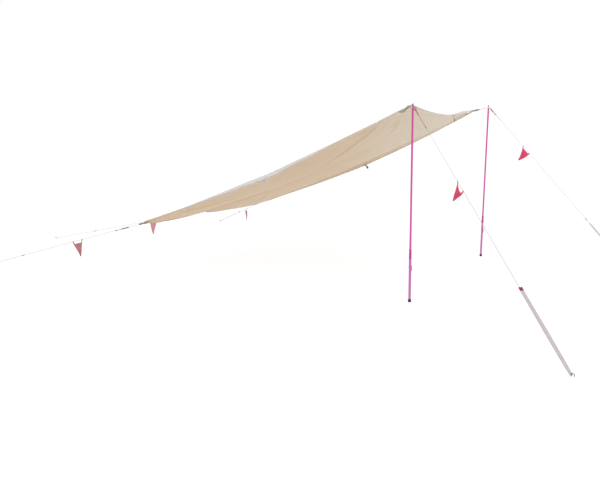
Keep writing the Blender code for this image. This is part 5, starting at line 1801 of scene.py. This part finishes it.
def make_pegs(settings):
    """The five round hook pegs, from the ground up."""
    steel = steel_finish("peg steel", settings.peg_colour)
    for stay in STAYS:
        place, _ = stay_frame(stay)
        ahead = place.to_3x3() @ Vector((1.0, 0.0, 0.0))
        heading = math.atan2(ahead.y, ahead.x)
        points = [(0.0, 0.0, 0.0), (0.0, 0.0, PEG_SHAFT * 0.5), (0.0, 0.0, PEG_SHAFT * 0.9)]
        up = arc((PEG_BEND, PEG_SHAFT), PEG_BEND, PEG_BEND, 180, 90, 10)
        down = arc((PEG_BEND + PEG_REACH, PEG_SHAFT), PEG_BEND, PEG_BEND, 90, 0, 10)
        points += [(x, 0.0, z) for x, z in up + down]
        end = 2 * PEG_BEND + PEG_REACH
        points += [(end, 0.0, PEG_SHAFT - PEG_TIP * share) for share in (0.5, 0.85, 0.94, 1.0)]
        widths = [1.0] * (len(points) - 3) + [1.0, 0.88, 0.45]
        shape = swept_shape(points, PEG_RADIUS, 16, widths=widths)
        spot = Matrix.Translation(PEGS[stay]) @ Matrix.Rotation(heading, 4, "Z")
        node = f"{stay}_peg"
        settle(shape, f"{node}_forged", steel, "tarp", [node], spot, sharp=50.0)


def make_stage(settings):
    """The pale floor, even white light, one wide soft sun and the camera."""
    scene = bpy.context.scene
    scene.view_settings.view_transform = "Standard"
    shape = bmesh.new()
    below = Matrix.Translation((0, 0, -FLOOR_DROP))
    bmesh.ops.create_circle(shape, cap_ends=True, segments=96, radius=FLOOR_RADIUS, matrix=below)
    mesh = bpy.data.meshes.new("floor")
    shape.to_mesh(mesh)
    shape.free()
    mesh.materials.append(floor_finish("pale floor", settings.floor_colour, settings.floor_glow))
    floor = bpy.data.objects.new("floor", mesh)
    scene.collection.objects.link(floor)

    world = bpy.data.worlds.new("studio")
    world.use_nodes = True
    nodes, links = world.node_tree.nodes, world.node_tree.links
    nodes.clear()
    light = nodes.new("ShaderNodeBackground")
    light.inputs["Strength"].default_value = settings.sky_strength
    seen = nodes.new("ShaderNodeBackground")
    seen.inputs["Strength"].default_value = 1.0
    for background in (light, seen):
        background.inputs["Color"].default_value = (1.0, 1.0, 1.0, 1.0)
    path = nodes.new("ShaderNodeLightPath")
    chosen = nodes.new("ShaderNodeMixShader")
    output = nodes.new("ShaderNodeOutputWorld")
    links.new(path.outputs["Is Camera Ray"], chosen.inputs[0])
    links.new(light.outputs[0], chosen.inputs[1])
    links.new(seen.outputs[0], chosen.inputs[2])
    links.new(chosen.outputs[0], output.inputs["Surface"])
    scene.world = world

    lamp = bpy.data.lights.new("key", "SUN")
    lamp.energy = settings.key_strength
    lamp.angle = SUN_SPREAD
    key = bpy.data.objects.new("key", lamp)
    scene.collection.objects.link(key)
    key.rotation_euler = SUN_TURN

    view = bpy.data.cameras.new("camera")
    view.lens = settings.lens
    view.sensor_width = SENSOR_WIDTH
    view.clip_end = FARTHEST_SEEN
    camera = bpy.data.objects.new("camera", view)
    camera.location = CAMERA_PLACE
    camera.rotation_euler = CAMERA_TURN
    scene.collection.objects.link(camera)
    scene.camera = camera


class TARP_OT_stage(bpy.types.Operator):
    """Set up the pale floor, the soft light and the camera"""

    bl_idname = "tarp.make_stage"
    bl_label = "Set up the studio"

    def execute(self, context):
        make_stage(context.scene.tarp_studio)
        return {"FINISHED"}


class TARP_OT_canopy(bpy.types.Operator):
    """Make the stretched canvas roof with its hems and folds"""

    bl_idname = "tarp.make_canopy"
    bl_label = "Make the canvas roof"

    def execute(self, context):
        make_canopy(context.scene.tarp_sheet)
        return {"FINISHED"}


class TARP_OT_straps(bpy.types.Operator):
    """Make the webbing straps, link loops, tabs and corner patches"""

    bl_idname = "tarp.make_straps"
    bl_label = "Make straps and tabs"

    def execute(self, context):
        make_straps(context.scene.tarp_webbing)
        return {"FINISHED"}


class TARP_OT_poles(bpy.types.Operator):
    """Make the two telescopic poles with their clamps and feet"""

    bl_idname = "tarp.make_poles"
    bl_label = "Make the poles"

    def execute(self, context):
        make_poles(context.scene.tarp_poles)
        return {"FINISHED"}


class TARP_OT_lines(bpy.types.Operator):
    """Make the guy lines and their bound knots"""

    bl_idname = "tarp.make_lines"
    bl_label = "Make the guy lines"

    def execute(self, context):
        make_lines(context.scene.tarp_lines)
        return {"FINISHED"}


class TARP_OT_sliders(bpy.types.Operator):
    """Make the moulded sliders"""

    bl_idname = "tarp.make_sliders"
    bl_label = "Make the sliders"

    def execute(self, context):
        make_sliders(context.scene.tarp_lines)
        return {"FINISHED"}


class TARP_OT_pennants(bpy.types.Operator):
    """Make the warning pennants"""

    bl_idname = "tarp.make_pennants"
    bl_label = "Make the pennants"

    def execute(self, context):
        make_pennants(context.scene.tarp_lines)
        return {"FINISHED"}


class TARP_OT_pegs(bpy.types.Operator):
    """Make the hook pegs"""

    bl_idname = "tarp.make_pegs"
    bl_label = "Make the pegs"

    def execute(self, context):
        make_pegs(context.scene.tarp_lines)
        return {"FINISHED"}


class TARP_PT_panel(bpy.types.Panel):
    """Sizes, colours and making of the camping tarp"""

    bl_label = "Camping tarp"
    bl_idname = "TARP_PT_panel"
    bl_space_type = "VIEW_3D"
    bl_region_type = "UI"
    bl_category = "Tarp"

    def draw(self, context):
        for name in SETTINGS:
            settings = getattr(context.scene, name)
            box = self.layout.box()
            for prop in settings.bl_rna.properties:
                if prop.identifier not in ("rna_type", "name"):
                    box.prop(settings, prop.identifier)
        column = self.layout.column()
        for operator in OPERATORS:
            column.operator(operator.bl_idname)


SETTINGS = {
    "tarp_sheet": SheetSettings,
    "tarp_webbing": WebbingSettings,
    "tarp_poles": PoleSettings,
    "tarp_lines": LineSettings,
    "tarp_studio": StudioSettings,
}
OPERATORS = (
    TARP_OT_stage, TARP_OT_canopy, TARP_OT_straps, TARP_OT_poles, TARP_OT_lines, TARP_OT_sliders,
    TARP_OT_pennants, TARP_OT_pegs,
)


def register():
    for item in (*SETTINGS.values(), *OPERATORS, TARP_PT_panel):
        bpy.utils.register_class(item)
    for name, settings in SETTINGS.items():
        setattr(bpy.types.Scene, name, bpy.props.PointerProperty(type=settings))


def unregister():
    for name in SETTINGS:
        delattr(bpy.types.Scene, name)
    for item in reversed((*SETTINGS.values(), *OPERATORS, TARP_PT_panel)):
        bpy.utils.unregister_class(item)


def main():
    register()
    bpy.ops.tarp.make_stage()
    bpy.ops.tarp.make_canopy()
    bpy.ops.tarp.make_straps()
    bpy.ops.tarp.make_poles()
    bpy.ops.tarp.make_lines()
    bpy.ops.tarp.make_sliders()
    bpy.ops.tarp.make_pennants()
    bpy.ops.tarp.make_pegs()
    bpy.context.view_layer.update()
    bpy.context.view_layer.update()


if __name__ == "__main__":
    main()
